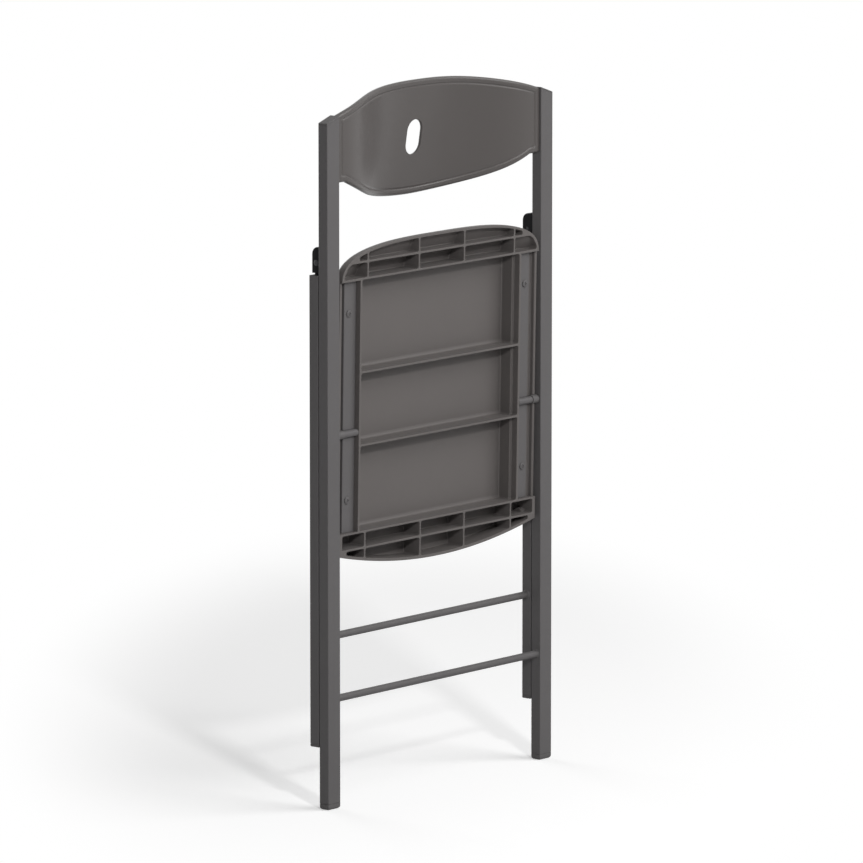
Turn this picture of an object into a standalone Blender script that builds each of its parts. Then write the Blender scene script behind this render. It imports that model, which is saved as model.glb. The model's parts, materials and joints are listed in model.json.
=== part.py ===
"""Folding dining chair, modelled folded and standing on its feet.

Metres, +Z up. The chair's front faces -Y, left is -X. The origin lies on the floor, in the middle of
the chair's box. Heights and places below are measured from the floor and from the centre plane of the
uprights; the seat's are measured from its pivot axis, the rear legs' from their hinge axis.
"""
import math

import bmesh
import bpy

# Fits
FIT_GAP = 0.0003             # between pieces that touch
RUN_GAP = 0.0005             # between pieces that move past each other

# Uprights: rectangular tubes with sloping tops
CHAIR_WIDTH = 0.475
TUBE_WIDTH = 0.025
UPRIGHT_DEPTH = 0.016
UPRIGHT_WALL = 0.0015
TUBE_CORNER = 0.001
TUBE_INNER_CORNER = 0.0005
UPRIGHT_TOP = 0.941          # at the inner edge, over the cap
UPRIGHT_TOP_DROP = 0.0085    # from the inner edge to the outer edge

# Plugs in the tubes' ends
CAP_THICKNESS = 0.002
CAP_EDGE = 0.0008
CAP_PLUG = 0.010
FOOT_HEIGHT = 0.008
FOOT_EDGE = 0.004
FOOT_PLUG = 0.025

# Backrest
BACKREST_CROWN = 0.0273      # how far its middle stands above the uprights
BACKREST_HEIGHT = 0.1594     # at its middle
BACKREST_TOP_FALL = 0.0278   # from the middle to the ends
BACKREST_TOP_POWER = 2.32
BACKREST_BOTTOM_RISE = 0.0411
BACKREST_BOTTOM_POWER = 2.07
BACKREST_END_RUN = 0.0172    # level stretch of the lower edge at either end
BACKREST_SETBACK = 0.0034    # of its ends, behind the uprights' front faces
UPPER_HOLLOW = 0.0331        # how far the middle of the upper edge lies behind the ends
UPPER_HOLLOW_POWER = 3.57
LOWER_HOLLOW = 0.0574
LOWER_HOLLOW_POWER = 2.8
HOLLOW_EASE = 3.7            # how softly the hollow starts at the ends
RIM_DEPTH = 0.009
RIM_ROUND = 0.004
RIM_BAND = 0.009
RIM_STEP = 0.001
PANEL_THICKNESS = 0.004
HAND_HOLE_WIDTH = 0.030
HAND_HOLE_LENGTH = 0.048
DOWEL_DIAMETER = 0.004
DOWEL_SPACING = 0.036
DOWEL_IN_BACKREST = 0.008
DOWEL_IN_UPRIGHT = 0.008

# Rods
ROD_DIAMETER = 0.010
FRONT_ROD_HEIGHT = 0.1496
REAR_ROD_HEIGHT = 0.2313

# Rear legs and their hinges
REAR_LEG_DEPTH = 0.0153
REAR_LEG_WALL = 0.0013
REAR_LEG_GAP = 0.0012
REAR_LEG_BOTTOM = 0.0845
REAR_FOOT_HEIGHT = 0.004
REAR_FOOT_EDGE = 0.0015
HINGE_HEIGHT = 0.743
BRACKET_WIDTH = 0.0185
BRACKET_EAR = 0.003
BRACKET_BASE = 0.0025
BRACKET_RISE = 0.0215
BRACKET_DROP = 0.014
BRACKET_ROUND = 0.010
KNUCKLE_PLUG = 0.030
HINGE_PIN_DIAMETER = 0.005
HINGE_HEAD_DIAMETER = 0.0085
HINGE_HEAD_HEIGHT = 0.0014
BRACKET_SCREW_RISE = 0.0125
BRACKET_SCREW_SPACING = 0.009
BRACKET_SCREW_DIAMETER = 0.0034
BRACKET_SCREW_HEAD = 0.0058
BRACKET_SCREW_HEAD_HEIGHT = 0.002
BRACKET_SCREW_SINK = 0.003
BRACKET_SCREW_BITE = 0.003

# Seat shell
PIVOT_HEIGHT = 0.508
SEAT_LEAN = math.radians(1.0)
SEAT_SIDE_GAP = 0.0048
SEAT_RIM_AHEAD = 0.0051
SEAT_THICKNESS = 0.0325
SEAT_PANEL = 0.0045
SEAT_DISH = 0.0025           # depth of the sitting face's hollow, across the seat
SEAT_EDGE = 0.008
SEAT_RIM_WALL = 0.004
RIB_THICKNESS = 0.003
SEAT_SHOULDER = 0.2047
SEAT_FRONT_RISE = 0.0513
FRONT_ARC_SIDE_POWER = 3.0
FRONT_ARC_RISE_POWER = 2.6
SEAT_REAR = 0.1908
SEAT_REAR_RISE = 0.0246
REAR_END_WALL = 0.0062
FRONT_COMPARTMENT = 0.0475   # from the front edge to the rib that bounds it
FRONT_ROW = 0.023
REAR_COMPARTMENT = 0.0538
REAR_ROW = 0.0222
OUTER_RIB_INSET = 0.0532     # from the seat's sides
FRONT_INNER_RIB = 0.0476
REAR_INNER_RIB = 0.0465
REAR_INNER_RIB_SHIFT = 0.008
UPPER_CROSS_RIB = 0.081
LOWER_CROSS_RIB = 0.0186
CREST_WALL = 0.004
CREST_STEP = 0.004
CREST_STEP_DEPTH = 0.010

# Side rails in the seat
RAIL_WIDTH = 0.025
RAIL_DEPTH = 0.016
RAIL_WALL = 0.0015
RAIL_SINK = 0.007            # of its face, behind the seat's rim
LEDGE_SINK = 0.0145
LEDGE_WIDTH = 0.008
OUTER_CREST_SINK = 0.004
OUTER_CREST_WALL = 0.0042
RAIL_SCREW_OFFSET = 0.003    # outwards from the rail's middle
RAIL_SCREW_INSET = 0.0455    # from the ribs at the rail's ends
RAIL_SCREW_DIAMETER = 0.004
RAIL_SCREW_HEAD = 0.007
RAIL_SCREW_HEAD_HEIGHT = 0.0016
RAIL_SCREW_BITE = 0.0045

# Seat pivots
PIN_DIAMETER = 0.010
JOURNAL_DIAMETER = 0.008
JOURNAL_IN_UPRIGHT = 0.015
BUSH_DIAMETER = 0.0122
BUSH_COLLAR = 0.0122
SPIGOT_DIAMETER = 0.0114
SPIGOT_LENGTH = 0.010

# Guide studs on the seat and slots in the rear legs
SEAT_SWING = math.radians(114.0)
STUD_DIAMETER = 0.0074
STUD_TIP_GAP = 0.0004
STUD_BOSS_WALL = 0.003
STUD_BOSS_LENGTH = 0.009
STUD_SEAT = 0.012
SLOT_PLAY = 0.0008

# Facets of round shapes
ROUND_SIDES = 24
SMALL_SIDES = 16
SMALL_RADIUS = 0.0045        # up to which a round piece has fewer sides
CORNER_STEPS = 3
EDGE_STEPS = 3
BACKREST_STATIONS = 28
SEAT_ARC_STEPS = 14
CELL_STEPS = 6
CUT_PAST = 0.001             # how far a cutter stands past what it cuts
SMALLEST_CELL = 0.001

# Places worked out from the sizes above
INNER_FACE = CHAIR_WIDTH / 2 - TUBE_WIDTH
TUBE_CENTRE = CHAIR_WIDTH / 2 - TUBE_WIDTH / 2
LEG_PLANE = UPRIGHT_DEPTH / 2 + REAR_LEG_GAP + REAR_LEG_DEPTH / 2
BRACKET_FRONT = UPRIGHT_DEPTH / 2 + FIT_GAP - LEG_PLANE
BRACKET_REAR = REAR_LEG_DEPTH / 2
KNUCKLE_RADIUS = -BRACKET_FRONT - BRACKET_BASE - FIT_GAP
LEG_TOP = -(math.hypot(BRACKET_REAR, BRACKET_DROP) + RUN_GAP)
LEG_BOTTOM = REAR_LEG_BOTTOM + REAR_FOOT_HEIGHT + FIT_GAP - HINGE_HEIGHT
SEAT_HALF = INNER_FACE - SEAT_SIDE_GAP
SEAT_RIM = -SEAT_RIM_AHEAD
SEAT_FLOOR = SEAT_RIM + SEAT_THICKNESS - SEAT_PANEL
RAIL_FACE = SEAT_RIM + RAIL_SINK
RAIL_OUTER = SEAT_HALF - OUTER_CREST_WALL - LEDGE_WIDTH - FIT_GAP
RAIL_INNER = RAIL_OUTER - RAIL_WIDTH
RAIL_BED = RAIL_FACE + RAIL_DEPTH + FIT_GAP
CREST_OUTER = RAIL_INNER - FIT_GAP
OUTER_RIB = SEAT_HALF - OUTER_RIB_INSET
BUSH_INNER = INNER_FACE - FIT_GAP - BUSH_COLLAR
UPRIGHT_FRONT = -UPRIGHT_DEPTH / 2
BACKREST_END = INNER_FACE - FIT_GAP
BACKREST_TOP = UPRIGHT_TOP + BACKREST_CROWN
BACKREST_BOTTOM = BACKREST_TOP - BACKREST_HEIGHT
BACKREST_FRONT = UPRIGHT_FRONT + BACKREST_SETBACK
BACKREST_TILT = (LOWER_HOLLOW - UPPER_HOLLOW) / BACKREST_HEIGHT
BACKREST_REAR = BACKREST_FRONT + LOWER_HOLLOW + RIM_DEPTH - BACKREST_TILT * RIM_ROUND
SEAT_PEAK = SEAT_SHOULDER + SEAT_FRONT_RISE
FRONT_RIB = SEAT_PEAK - FRONT_COMPARTMENT
FRONT_MIDDLE_RIB = FRONT_RIB + FRONT_ROW
REAR_RIB = SEAT_REAR - REAR_COMPARTMENT
REAR_MIDDLE_RIB = REAR_RIB + REAR_ROW
RAIL_SCREW_X = RAIL_INNER + RAIL_WIDTH / 2 + RAIL_SCREW_OFFSET
RAIL_SCREW_ROWS = (("front", FRONT_RIB - RAIL_SCREW_INSET), ("rear", RAIL_SCREW_INSET - REAR_RIB))
CHAIR_FRONT = SEAT_RIM * math.cos(SEAT_LEAN) - SEAT_PEAK * math.sin(SEAT_LEAN)
CHAIR_MIDDLE = (CHAIR_FRONT + BACKREST_REAR) / 2

# Where the stud lies from the pivot and from the hinge, folded and open, and how far the legs swing
STUD_FOLDED = (LEG_PLANE, -REAR_MIDDLE_RIB)
STUD_OPEN = (STUD_FOLDED[0] * math.cos(SEAT_SWING) - STUD_FOLDED[1] * math.sin(SEAT_SWING),
             STUD_FOLDED[0] * math.sin(SEAT_SWING) + STUD_FOLDED[1] * math.cos(SEAT_SWING))
HINGE_ABOVE_PIVOT = HINGE_HEIGHT - PIVOT_HEIGHT
LEG_SWING = math.atan2(STUD_OPEN[0] - LEG_PLANE, HINGE_ABOVE_PIVOT - STUD_OPEN[1])
SLOT_LOWER = STUD_FOLDED[1] - HINGE_ABOVE_PIVOT
SLOT_UPPER = -math.hypot(STUD_OPEN[0] - LEG_PLANE, HINGE_ABOVE_PIVOT - STUD_OPEN[1])
STUD_IN_SEAT = (STUD_FOLDED[0] * math.cos(SEAT_LEAN) + STUD_FOLDED[1] * math.sin(SEAT_LEAN),
                STUD_FOLDED[1] * math.cos(SEAT_LEAN) - STUD_FOLDED[0] * math.sin(SEAT_LEAN))

# Finishes: colour, roughness, metallic
POWDER_COAT = ((0.110, 0.104, 0.103), 0.45, 0.0)
GREY_PLASTIC = ((0.118, 0.109, 0.105), 0.55, 0.0)
BLACK_PLASTIC = ((0.012, 0.012, 0.013), 0.5, 0.0)
STEEL = ((0.45, 0.45, 0.46), 0.35, 1.0)

SIDES = (("left", -1), ("right", 1))


# Outlines and solids

def circles(radii):
    """Circles about the origin, with the same number of points on each."""
    sides = ROUND_SIDES if max(radii) > SMALL_RADIUS else SMALL_SIDES
    turns = [2 * math.pi * i / sides for i in range(sides)]
    return [[(radius * math.cos(a), radius * math.sin(a)) for a in turns] for radius in radii]


def arc(centre, radius, start, end, steps):
    """Points of an arc, from one angle in degrees to another."""
    angles = [math.radians(start + (end - start) * i / steps) for i in range(steps + 1)]
    return [(centre[0] + radius * math.cos(a), centre[1] + radius * math.sin(a)) for a in angles]


def rounded_rectangle(half_width, half_depth, radius):
    """Points of a rectangle with round corners, about the origin."""
    points = []
    for i, (sx, sy) in enumerate(((1, 1), (-1, 1), (-1, -1), (1, -1))):
        centre = (sx * (half_width - radius), sy * (half_depth - radius))
        points += arc(centre, radius, 90 * i, 90 * i + 90, CORNER_STEPS)
    return points


def obround(half_width, lower, upper, steps=ROUND_SIDES // 2):
    """Points of an upright slot with round ends, given the middles of its ends."""
    return arc((0, upper), half_width, 0, 180, steps) + arc((0, lower), half_width, 180, 360, steps)


def add_faces(bm, rings, closed):
    """Join rings of points with quads; close the ends, or the last ring to the first one."""
    loops = [[bm.verts.new(point) for point in ring] for ring in rings]
    pairs = list(zip(loops, loops[1:]))
    if closed:
        pairs.append((loops[-1], loops[0]))
    else:
        bm.faces.new(list(reversed(loops[0])))
        bm.faces.new(loops[-1])
    for near, far in pairs:
        for i in range(len(near)):
            j = (i + 1) % len(near)
            bm.faces.new((near[i], near[j], far[j], far[i]))


def loft(bm, rings):
    """A solid through rings of points, with flat ends."""
    add_faces(bm, rings, closed=False)


def along_x(outline, x):
    return [(x, a, b) for a, b in outline]


def along_y(outline, y):
    return [(a, y, b) for a, b in outline]


def along_z(outline, z):
    return [(a, b, z) for a, b in outline]


def turned_x(bm, profile, centre=(0.0, 0.0), hollow=False):
    """A turned solid about a line along X; the profile holds pairs of x and radius."""
    rings = []
    for (x, _), ring in zip(profile, circles([radius for _, radius in profile])):
        rings.append([(x, centre[0] + a, centre[1] + b) for a, b in ring])
    add_faces(bm, rings, closed=hollow)


def turned_y(bm, profile, x, z):
    """A turned solid about a line along Y; the profile holds pairs of y and radius."""
    rings = []
    for (y, _), ring in zip(profile, circles([radius for _, radius in profile])):
        rings.append([(x + a, y, z + b) for a, b in ring])
    loft(bm, rings)


def box(bm, low, high):
    """A plain box between two corners."""
    outline = [(low[0], low[1]), (high[0], low[1]), (high[0], high[1]), (low[0], high[1])]
    loft(bm, [along_z(outline, low[2]), along_z(outline, high[2])])


def tube(bm, centre, half, wall, bottom, top):
    """A rectangular tube along Z; bottom and top give a height for each x."""
    outer = rounded_rectangle(half[0], half[1], TUBE_CORNER)
    inner = rounded_rectangle(half[0] - wall, half[1] - wall, TUBE_INNER_CORNER)

    def ring(outline, level):
        return [(centre[0] + a, centre[1] + b, level(centre[0] + a)) for a, b in outline]

    add_faces(bm, [ring(outer, bottom), ring(outer, top), ring(inner, top), ring(inner, bottom)],
              closed=True)


def stack(bm, centre, layers):
    """A solid of stacked round-cornered rectangles: half width, half depth, corner, height by x."""
    rings = []
    for half_width, half_depth, corner, level in layers:
        outline = rounded_rectangle(half_width, half_depth, corner)
        rings.append([(centre[0] + a, centre[1] + b, level(centre[0] + a)) for a, b in outline])
    loft(bm, rings)


def level(height):
    """The same height at every x."""
    return lambda x: height


# Objects

def finish(name, look):
    """A Principled material of one colour."""
    colour, roughness, metallic = look
    material = bpy.data.materials.new(name)
    material.use_nodes = True
    shader = material.node_tree.nodes["Principled BSDF"]
    shader.inputs["Base Color"].default_value = (*colour, 1.0)
    shader.inputs["Roughness"].default_value = roughness
    shader.inputs["Metallic"].default_value = metallic
    return material


def make_object(name, bm, parent):
    """An object of the bmesh, with its faces turned out, under a parent empty."""
    bmesh.ops.recalc_face_normals(bm, faces=bm.faces)
    mesh = bpy.data.meshes.new(name)
    bm.to_mesh(mesh)
    bm.free()
    obj = bpy.data.objects.new(name, mesh)
    bpy.context.collection.objects.link(obj)
    obj.parent = parent
    return obj


def piece(name, bm, parent, look):
    """One sub-part of the chair."""
    obj = make_object(name, bm, parent)
    obj.data.materials.append(finish(name, look))
    obj.data.shade_smooth()
    obj.data.set_sharp_from_angle(angle=math.radians(35))
    return obj


def shape(obj, label, bm, operation):
    """Cut a hidden shape out of a piece, or join one to it."""
    tool = make_object(f"{obj.name}.{label}", bm, obj.parent)
    tool.hide_render = True
    tool.display_type = 'WIRE'
    modifier = obj.modifiers.new(label, 'BOOLEAN')
    modifier.operation = operation
    modifier.solver = 'EXACT'
    modifier.object = tool


def mirrored(bm, side):
    """The shape itself on the right, its mirror image on the left."""
    if side < 0:
        bmesh.ops.scale(bm, vec=(-1, 1, 1), verts=bm.verts)
    return bm


def empty(name, parent, place, lean=0.0):
    """A parent for the pieces of one body, on the body's joint axis."""
    obj = bpy.data.objects.new(name, None)
    bpy.context.collection.objects.link(obj)
    obj.parent = parent
    obj.location = place
    obj.rotation_euler = (lean, 0, 0)
    return obj


# Frame

def cap_level(drop):
    """Heights of the sloping top, lowered by a distance."""
    slope = UPRIGHT_TOP_DROP / TUBE_WIDTH
    return lambda x: UPRIGHT_TOP - slope * (x - INNER_FACE) - drop


def upright(name, side, parent):
    """A rectangular tube with holes for the rod, the bush, the dowels and the bracket's screws."""
    bm = bmesh.new()
    tube(bm, (TUBE_CENTRE, 0), (TUBE_WIDTH / 2, UPRIGHT_DEPTH / 2), UPRIGHT_WALL,
         level(FOOT_HEIGHT + FIT_GAP), cap_level(CAP_THICKNESS + FIT_GAP))
    obj = piece(f"{name}_upright", mirrored(bm, side), parent, POWDER_COAT)
    holes = bmesh.new()
    bores = [(0, FRONT_ROD_HEIGHT, ROD_DIAMETER), (0, PIVOT_HEIGHT, SPIGOT_DIAMETER)]
    bores += [(*place, DOWEL_DIAMETER) for place in dowel_places()]
    for y, z, diameter in bores:
        radius = diameter / 2 + FIT_GAP
        turned_x(holes, [(INNER_FACE - CUT_PAST, radius), (TUBE_CENTRE, radius)], (y, z))
    for x in bracket_screw_places():
        radius = BRACKET_SCREW_DIAMETER / 2 + FIT_GAP
        turned_y(holes, [(0, radius), (UPRIGHT_DEPTH / 2 + CUT_PAST, radius)],
                 x, HINGE_HEIGHT + BRACKET_SCREW_RISE)
    shape(obj, "holes", mirrored(holes, side), 'DIFFERENCE')


def top_cap(name, side, parent):
    """A plug whose plate closes the tube's sloping top."""
    half = (TUBE_WIDTH / 2, UPRIGHT_DEPTH / 2)
    plug = [h - UPRIGHT_WALL - FIT_GAP for h in half]
    corner = TUBE_INNER_CORNER
    layers = [(*plug, corner, cap_level(CAP_THICKNESS + CAP_PLUG)),
              (*plug, corner, cap_level(CAP_THICKNESS)),
              (*half, TUBE_CORNER, cap_level(CAP_THICKNESS)),
              (*half, TUBE_CORNER, cap_level(CAP_EDGE)),
              (half[0] - CAP_EDGE, half[1] - CAP_EDGE, TUBE_INNER_CORNER, cap_level(0))]
    bm = bmesh.new()
    stack(bm, (TUBE_CENTRE, 0), layers)
    piece(f"{name}_top_cap", mirrored(bm, side), parent, GREY_PLASTIC)


def foot_solid(centre, half, wall, bottom, height, edge):
    """A foot with round lower edges and a plug that goes up into the tube."""
    layers = []
    for i in range(EDGE_STEPS + 1):
        angle = math.pi / 2 * i / EDGE_STEPS
        inset = edge * (1 - math.sin(angle))
        corner = max(TUBE_CORNER - inset, TUBE_INNER_CORNER)
        rise = edge * (1 - math.cos(angle))
        layers.append((half[0] - inset, half[1] - inset, corner, level(bottom + rise)))
    plug = [h - wall - FIT_GAP for h in half]
    layers += [(*half, TUBE_CORNER, level(bottom + height)),
               (*plug, TUBE_INNER_CORNER, level(bottom + height)),
               (*plug, TUBE_INNER_CORNER, level(bottom + height + FOOT_PLUG))]
    bm = bmesh.new()
    stack(bm, centre, layers)
    return bm


def foot(name, side, parent):
    bm = foot_solid((TUBE_CENTRE, 0), (TUBE_WIDTH / 2, UPRIGHT_DEPTH / 2), UPRIGHT_WALL,
                    0.0, FOOT_HEIGHT, FOOT_EDGE)
    piece(f"{name}_foot", mirrored(bm, side), parent, GREY_PLASTIC)


def backrest_edges(x):
    """Heights of the lower and the upper edge."""
    lower = BACKREST_BOTTOM_RISE * min(abs(x) / (BACKREST_END - BACKREST_END_RUN), 1) ** BACKREST_BOTTOM_POWER
    upper = BACKREST_TOP_FALL * (abs(x) / BACKREST_END) ** BACKREST_TOP_POWER
    return BACKREST_BOTTOM + lower, BACKREST_TOP - upper


def backrest_front(x, share):
    """Where the rim's front lies: share is 0 at the lower edge and 1 at the upper one."""
    across = abs(x) / BACKREST_END
    lower = LOWER_HOLLOW * (1 - across ** LOWER_HOLLOW_POWER) ** HOLLOW_EASE
    upper = UPPER_HOLLOW * (1 - across ** UPPER_HOLLOW_POWER) ** HOLLOW_EASE
    return BACKREST_FRONT + lower + (upper - lower) * share


def backrest_section(x, hollowed):
    """The section at one place: round rims, and a thinner panel between them where it is hollowed."""
    step = RIM_STEP if hollowed else 0.0
    back = step + PANEL_THICKNESS if hollowed else RIM_DEPTH
    inside = RIM_BAND + RIM_STEP
    bend = arc((RIM_ROUND, RIM_ROUND), RIM_ROUND, 180, 270, EDGE_STEPS)
    rim = [(inside, back), (RIM_BAND, RIM_DEPTH)]
    rim += [(inset, RIM_DEPTH - depth) for inset, depth in reversed(bend)]
    rim += bend + [(RIM_BAND, 0.0), (inside, step)]
    lower, upper = backrest_edges(x)
    places = [(lower + inset, depth) for inset, depth in rim]
    places += [(upper - inset, depth) for inset, depth in reversed(rim)]
    return [(backrest_front(x, (z - lower) / (upper - lower)) + depth, z) for z, depth in places]


def dowel_places():
    """Depth and height of the dowels at the backrest's ends."""
    middle = sum(backrest_edges(BACKREST_END)) / 2
    depth = backrest_front(BACKREST_END - DOWEL_IN_BACKREST / 2, 0.5) + RIM_DEPTH / 2
    return [(depth, middle + share * DOWEL_SPACING) for share in (-0.5, 0.5)]


def backrest(parent):
    """A moulded shell, hollow to the front, with a round rim and a hand hole."""
    band = BACKREST_END - RIM_BAND
    panel = band - RIM_STEP
    spans = [-panel + 2 * panel * i / BACKREST_STATIONS for i in range(BACKREST_STATIONS + 1)]
    stations = [(-BACKREST_END, False), (-band, False)]
    stations += [(x, True) for x in spans]
    stations += [(band, False), (BACKREST_END, False)]
    bm = bmesh.new()
    loft(bm, [along_x(backrest_section(x, hollowed), x) for x, hollowed in stations])
    obj = piece("backrest", bm, parent, GREY_PLASTIC)
    hole = bmesh.new()
    half = HAND_HOLE_WIDTH / 2
    reach = HAND_HOLE_LENGTH / 2 - half
    middle = (BACKREST_TOP + BACKREST_BOTTOM) / 2
    outline = obround(half, middle - reach, middle + reach)
    loft(hole, [along_y(outline, UPRIGHT_FRONT), along_y(outline, BACKREST_REAR + CUT_PAST)])
    shape(obj, "hand_hole", hole, 'DIFFERENCE')
    sockets = bmesh.new()
    radius = DOWEL_DIAMETER / 2 + FIT_GAP
    depth = BACKREST_END - DOWEL_IN_BACKREST - FIT_GAP
    for side in (-1, 1):
        for place in dowel_places():
            turned_x(sockets, [(side * depth, radius), (side * (BACKREST_END + CUT_PAST), radius)],
                     place)
    shape(obj, "dowel_sockets", sockets, 'DIFFERENCE')


def backrest_dowels(name, side, parent):
    """Pins between the backrest's end and the upright."""
    radius = DOWEL_DIAMETER / 2
    for row, place in zip(("lower", "upper"), dowel_places()):
        bm = bmesh.new()
        turned_x(bm, [(BACKREST_END - DOWEL_IN_BACKREST, radius),
                      (INNER_FACE + DOWEL_IN_UPRIGHT, radius)], place)
        piece(f"{name}_{row}_dowel", mirrored(bm, side), parent, STEEL)


def rod(name, parent, wall, place):
    """A round rod whose ends sit in the inner walls of two tubes."""
    end = CHAIR_WIDTH / 2 - wall - FIT_GAP
    bm = bmesh.new()
    turned_x(bm, [(-end, ROD_DIAMETER / 2), (end, ROD_DIAMETER / 2)], place)
    piece(name, bm, parent, POWDER_COAT)


def pivot_bush(name, side, parent):
    """A collared bush in the upright, which the seat's pin turns in."""
    bore = JOURNAL_DIAMETER / 2 + FIT_GAP
    collar_end = INNER_FACE - FIT_GAP
    spigot_end = INNER_FACE + SPIGOT_LENGTH
    bm = bmesh.new()
    turned_x(bm, [(BUSH_INNER, bore), (BUSH_INNER, BUSH_DIAMETER / 2),
                  (collar_end, BUSH_DIAMETER / 2), (collar_end, SPIGOT_DIAMETER / 2),
                  (spigot_end, SPIGOT_DIAMETER / 2), (spigot_end, bore)],
             (0, PIVOT_HEIGHT), hollow=True)
    piece(f"{name}_pivot_bush", mirrored(bm, side), parent, GREY_PLASTIC)


# Hinge brackets, with places measured from the hinge axis

def bracket_screw_places():
    middle = INNER_FACE + BRACKET_WIDTH / 2
    return [middle + share * BRACKET_SCREW_SPACING for share in (-0.5, 0.5)]


def hinge_bracket(name, side, parent):
    """A fork on the upright's rear face: a solid head over two ears."""
    outline = [(BRACKET_FRONT, -BRACKET_DROP), (BRACKET_REAR, -BRACKET_DROP)]
    outline += arc((BRACKET_REAR - BRACKET_ROUND, BRACKET_RISE - BRACKET_ROUND), BRACKET_ROUND,
                   0, 90, 2 * EDGE_STEPS)
    outline += [(BRACKET_FRONT, BRACKET_RISE)]
    outer = INNER_FACE + BRACKET_WIDTH
    bm = bmesh.new()
    loft(bm, [along_x(outline, INNER_FACE), along_x(outline, outer)])
    obj = piece(f"{name}_hinge_bracket", mirrored(bm, side), parent, BLACK_PLASTIC)
    fork = bmesh.new()
    box(fork, (INNER_FACE + BRACKET_EAR, BRACKET_FRONT + BRACKET_BASE, -BRACKET_DROP - CUT_PAST),
        (outer - BRACKET_EAR, BRACKET_REAR + CUT_PAST, KNUCKLE_RADIUS + RUN_GAP))
    shape(obj, "fork", mirrored(fork, side), 'DIFFERENCE')
    holes = bmesh.new()
    pin = HINGE_PIN_DIAMETER / 2 + FIT_GAP
    turned_x(holes, [(INNER_FACE - CUT_PAST, pin), (outer + CUT_PAST, pin)])
    shank = BRACKET_SCREW_DIAMETER / 2 + FIT_GAP
    head = BRACKET_SCREW_HEAD / 2 + FIT_GAP
    sunk = BRACKET_REAR - BRACKET_SCREW_SINK
    for x in bracket_screw_places():
        turned_y(holes, [(BRACKET_FRONT - CUT_PAST, shank), (sunk, shank), (sunk, head),
                         (BRACKET_REAR + CUT_PAST, head)], x, BRACKET_SCREW_RISE)
    shape(obj, "holes", mirrored(holes, side), 'DIFFERENCE')


def bracket_screws(name, side, parent):
    """Two screws with sunk heads, which hold the bracket to the upright."""
    shank = BRACKET_SCREW_DIAMETER / 2
    head = BRACKET_SCREW_HEAD / 2
    seat = BRACKET_REAR - BRACKET_SCREW_SINK + FIT_GAP
    tip = UPRIGHT_DEPTH / 2 - UPRIGHT_WALL - BRACKET_SCREW_BITE - LEG_PLANE
    profile = [(tip, shank), (seat, shank), (seat, head), (seat + BRACKET_SCREW_HEAD_HEIGHT, head)]
    for row, x in zip(("inner", "outer"), bracket_screw_places()):
        bm = bmesh.new()
        turned_y(bm, profile, x, BRACKET_SCREW_RISE)
        piece(f"{name}_{row}_bracket_screw", mirrored(bm, side), parent, STEEL)


def hinge_pin(name, side, parent):
    """A rivet through the ears and the knuckle, with a domed head outside."""
    seat = INNER_FACE + BRACKET_WIDTH + FIT_GAP
    radius = HINGE_HEAD_DIAMETER / 2
    bm = bmesh.new()
    turned_x(bm, [(INNER_FACE + FIT_GAP, HINGE_PIN_DIAMETER / 2), (seat, HINGE_PIN_DIAMETER / 2),
                  (seat, radius), (seat + HINGE_HEAD_HEIGHT / 2, radius),
                  (seat + HINGE_HEAD_HEIGHT, radius / 2)])
    piece(f"{name}_hinge_pin", mirrored(bm, side), parent, BLACK_PLASTIC)


# Rear legs, with places measured from the hinge axis

def rear_leg(name, side, parent):
    """A rectangular tube with the rod's hole and the guide slot in its inner wall."""
    bm = bmesh.new()
    tube(bm, (TUBE_CENTRE, 0), (TUBE_WIDTH / 2, REAR_LEG_DEPTH / 2), REAR_LEG_WALL,
         level(LEG_BOTTOM), level(LEG_TOP))
    obj = piece(f"{name}_rear_leg", mirrored(bm, side), parent, POWDER_COAT)
    cuts = bmesh.new()
    near, far = INNER_FACE - CUT_PAST, TUBE_CENTRE
    radius = ROD_DIAMETER / 2 + FIT_GAP
    turned_x(cuts, [(near, radius), (far, radius)], (0, REAR_ROD_HEIGHT - HINGE_HEIGHT))
    slot = obround(STUD_DIAMETER / 2 + SLOT_PLAY / 2, SLOT_LOWER, SLOT_UPPER, ROUND_SIDES // 3)
    loft(cuts, [along_x(slot, near), along_x(slot, far)])
    shape(obj, "cuts", mirrored(cuts, side), 'DIFFERENCE')


def hinge_knuckle(name, side, parent):
    """A plug in the leg's top, with a lug that turns on the hinge pin."""
    plug = (TUBE_WIDTH / 2 - REAR_LEG_WALL - FIT_GAP, REAR_LEG_DEPTH / 2 - REAR_LEG_WALL - FIT_GAP)
    corner = TUBE_INNER_CORNER
    bm = bmesh.new()
    stack(bm, (TUBE_CENTRE, 0), [(*plug, corner, level(LEG_TOP - KNUCKLE_PLUG)),
                                 (*plug, corner, level(LEG_TOP))])
    obj = piece(f"{name}_hinge_knuckle", mirrored(bm, side), parent, BLACK_PLASTIC)
    near = INNER_FACE + BRACKET_EAR + FIT_GAP
    far = INNER_FACE + BRACKET_WIDTH - BRACKET_EAR - FIT_GAP
    outline = arc((0, 0), KNUCKLE_RADIUS, 0, 180, ROUND_SIDES // 2)
    root = LEG_TOP - KNUCKLE_PLUG / 2
    outline += [(-KNUCKLE_RADIUS, root), (KNUCKLE_RADIUS, root)]
    lug = bmesh.new()
    loft(lug, [along_x(outline, near), along_x(outline, far)])
    shape(obj, "lug", mirrored(lug, side), 'UNION')
    bore = bmesh.new()
    radius = HINGE_PIN_DIAMETER / 2 + FIT_GAP
    turned_x(bore, [(near - CUT_PAST, radius), (far + CUT_PAST, radius)])
    shape(obj, "bore", mirrored(bore, side), 'DIFFERENCE')


def rear_foot(name, side, parent):
    bm = foot_solid((TUBE_CENTRE, 0), (TUBE_WIDTH / 2, REAR_LEG_DEPTH / 2), REAR_LEG_WALL,
                    REAR_LEG_BOTTOM - HINGE_HEIGHT, REAR_FOOT_HEIGHT, REAR_FOOT_EDGE)
    piece(f"{name}_rear_foot", mirrored(bm, side), parent, GREY_PLASTIC)


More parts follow.
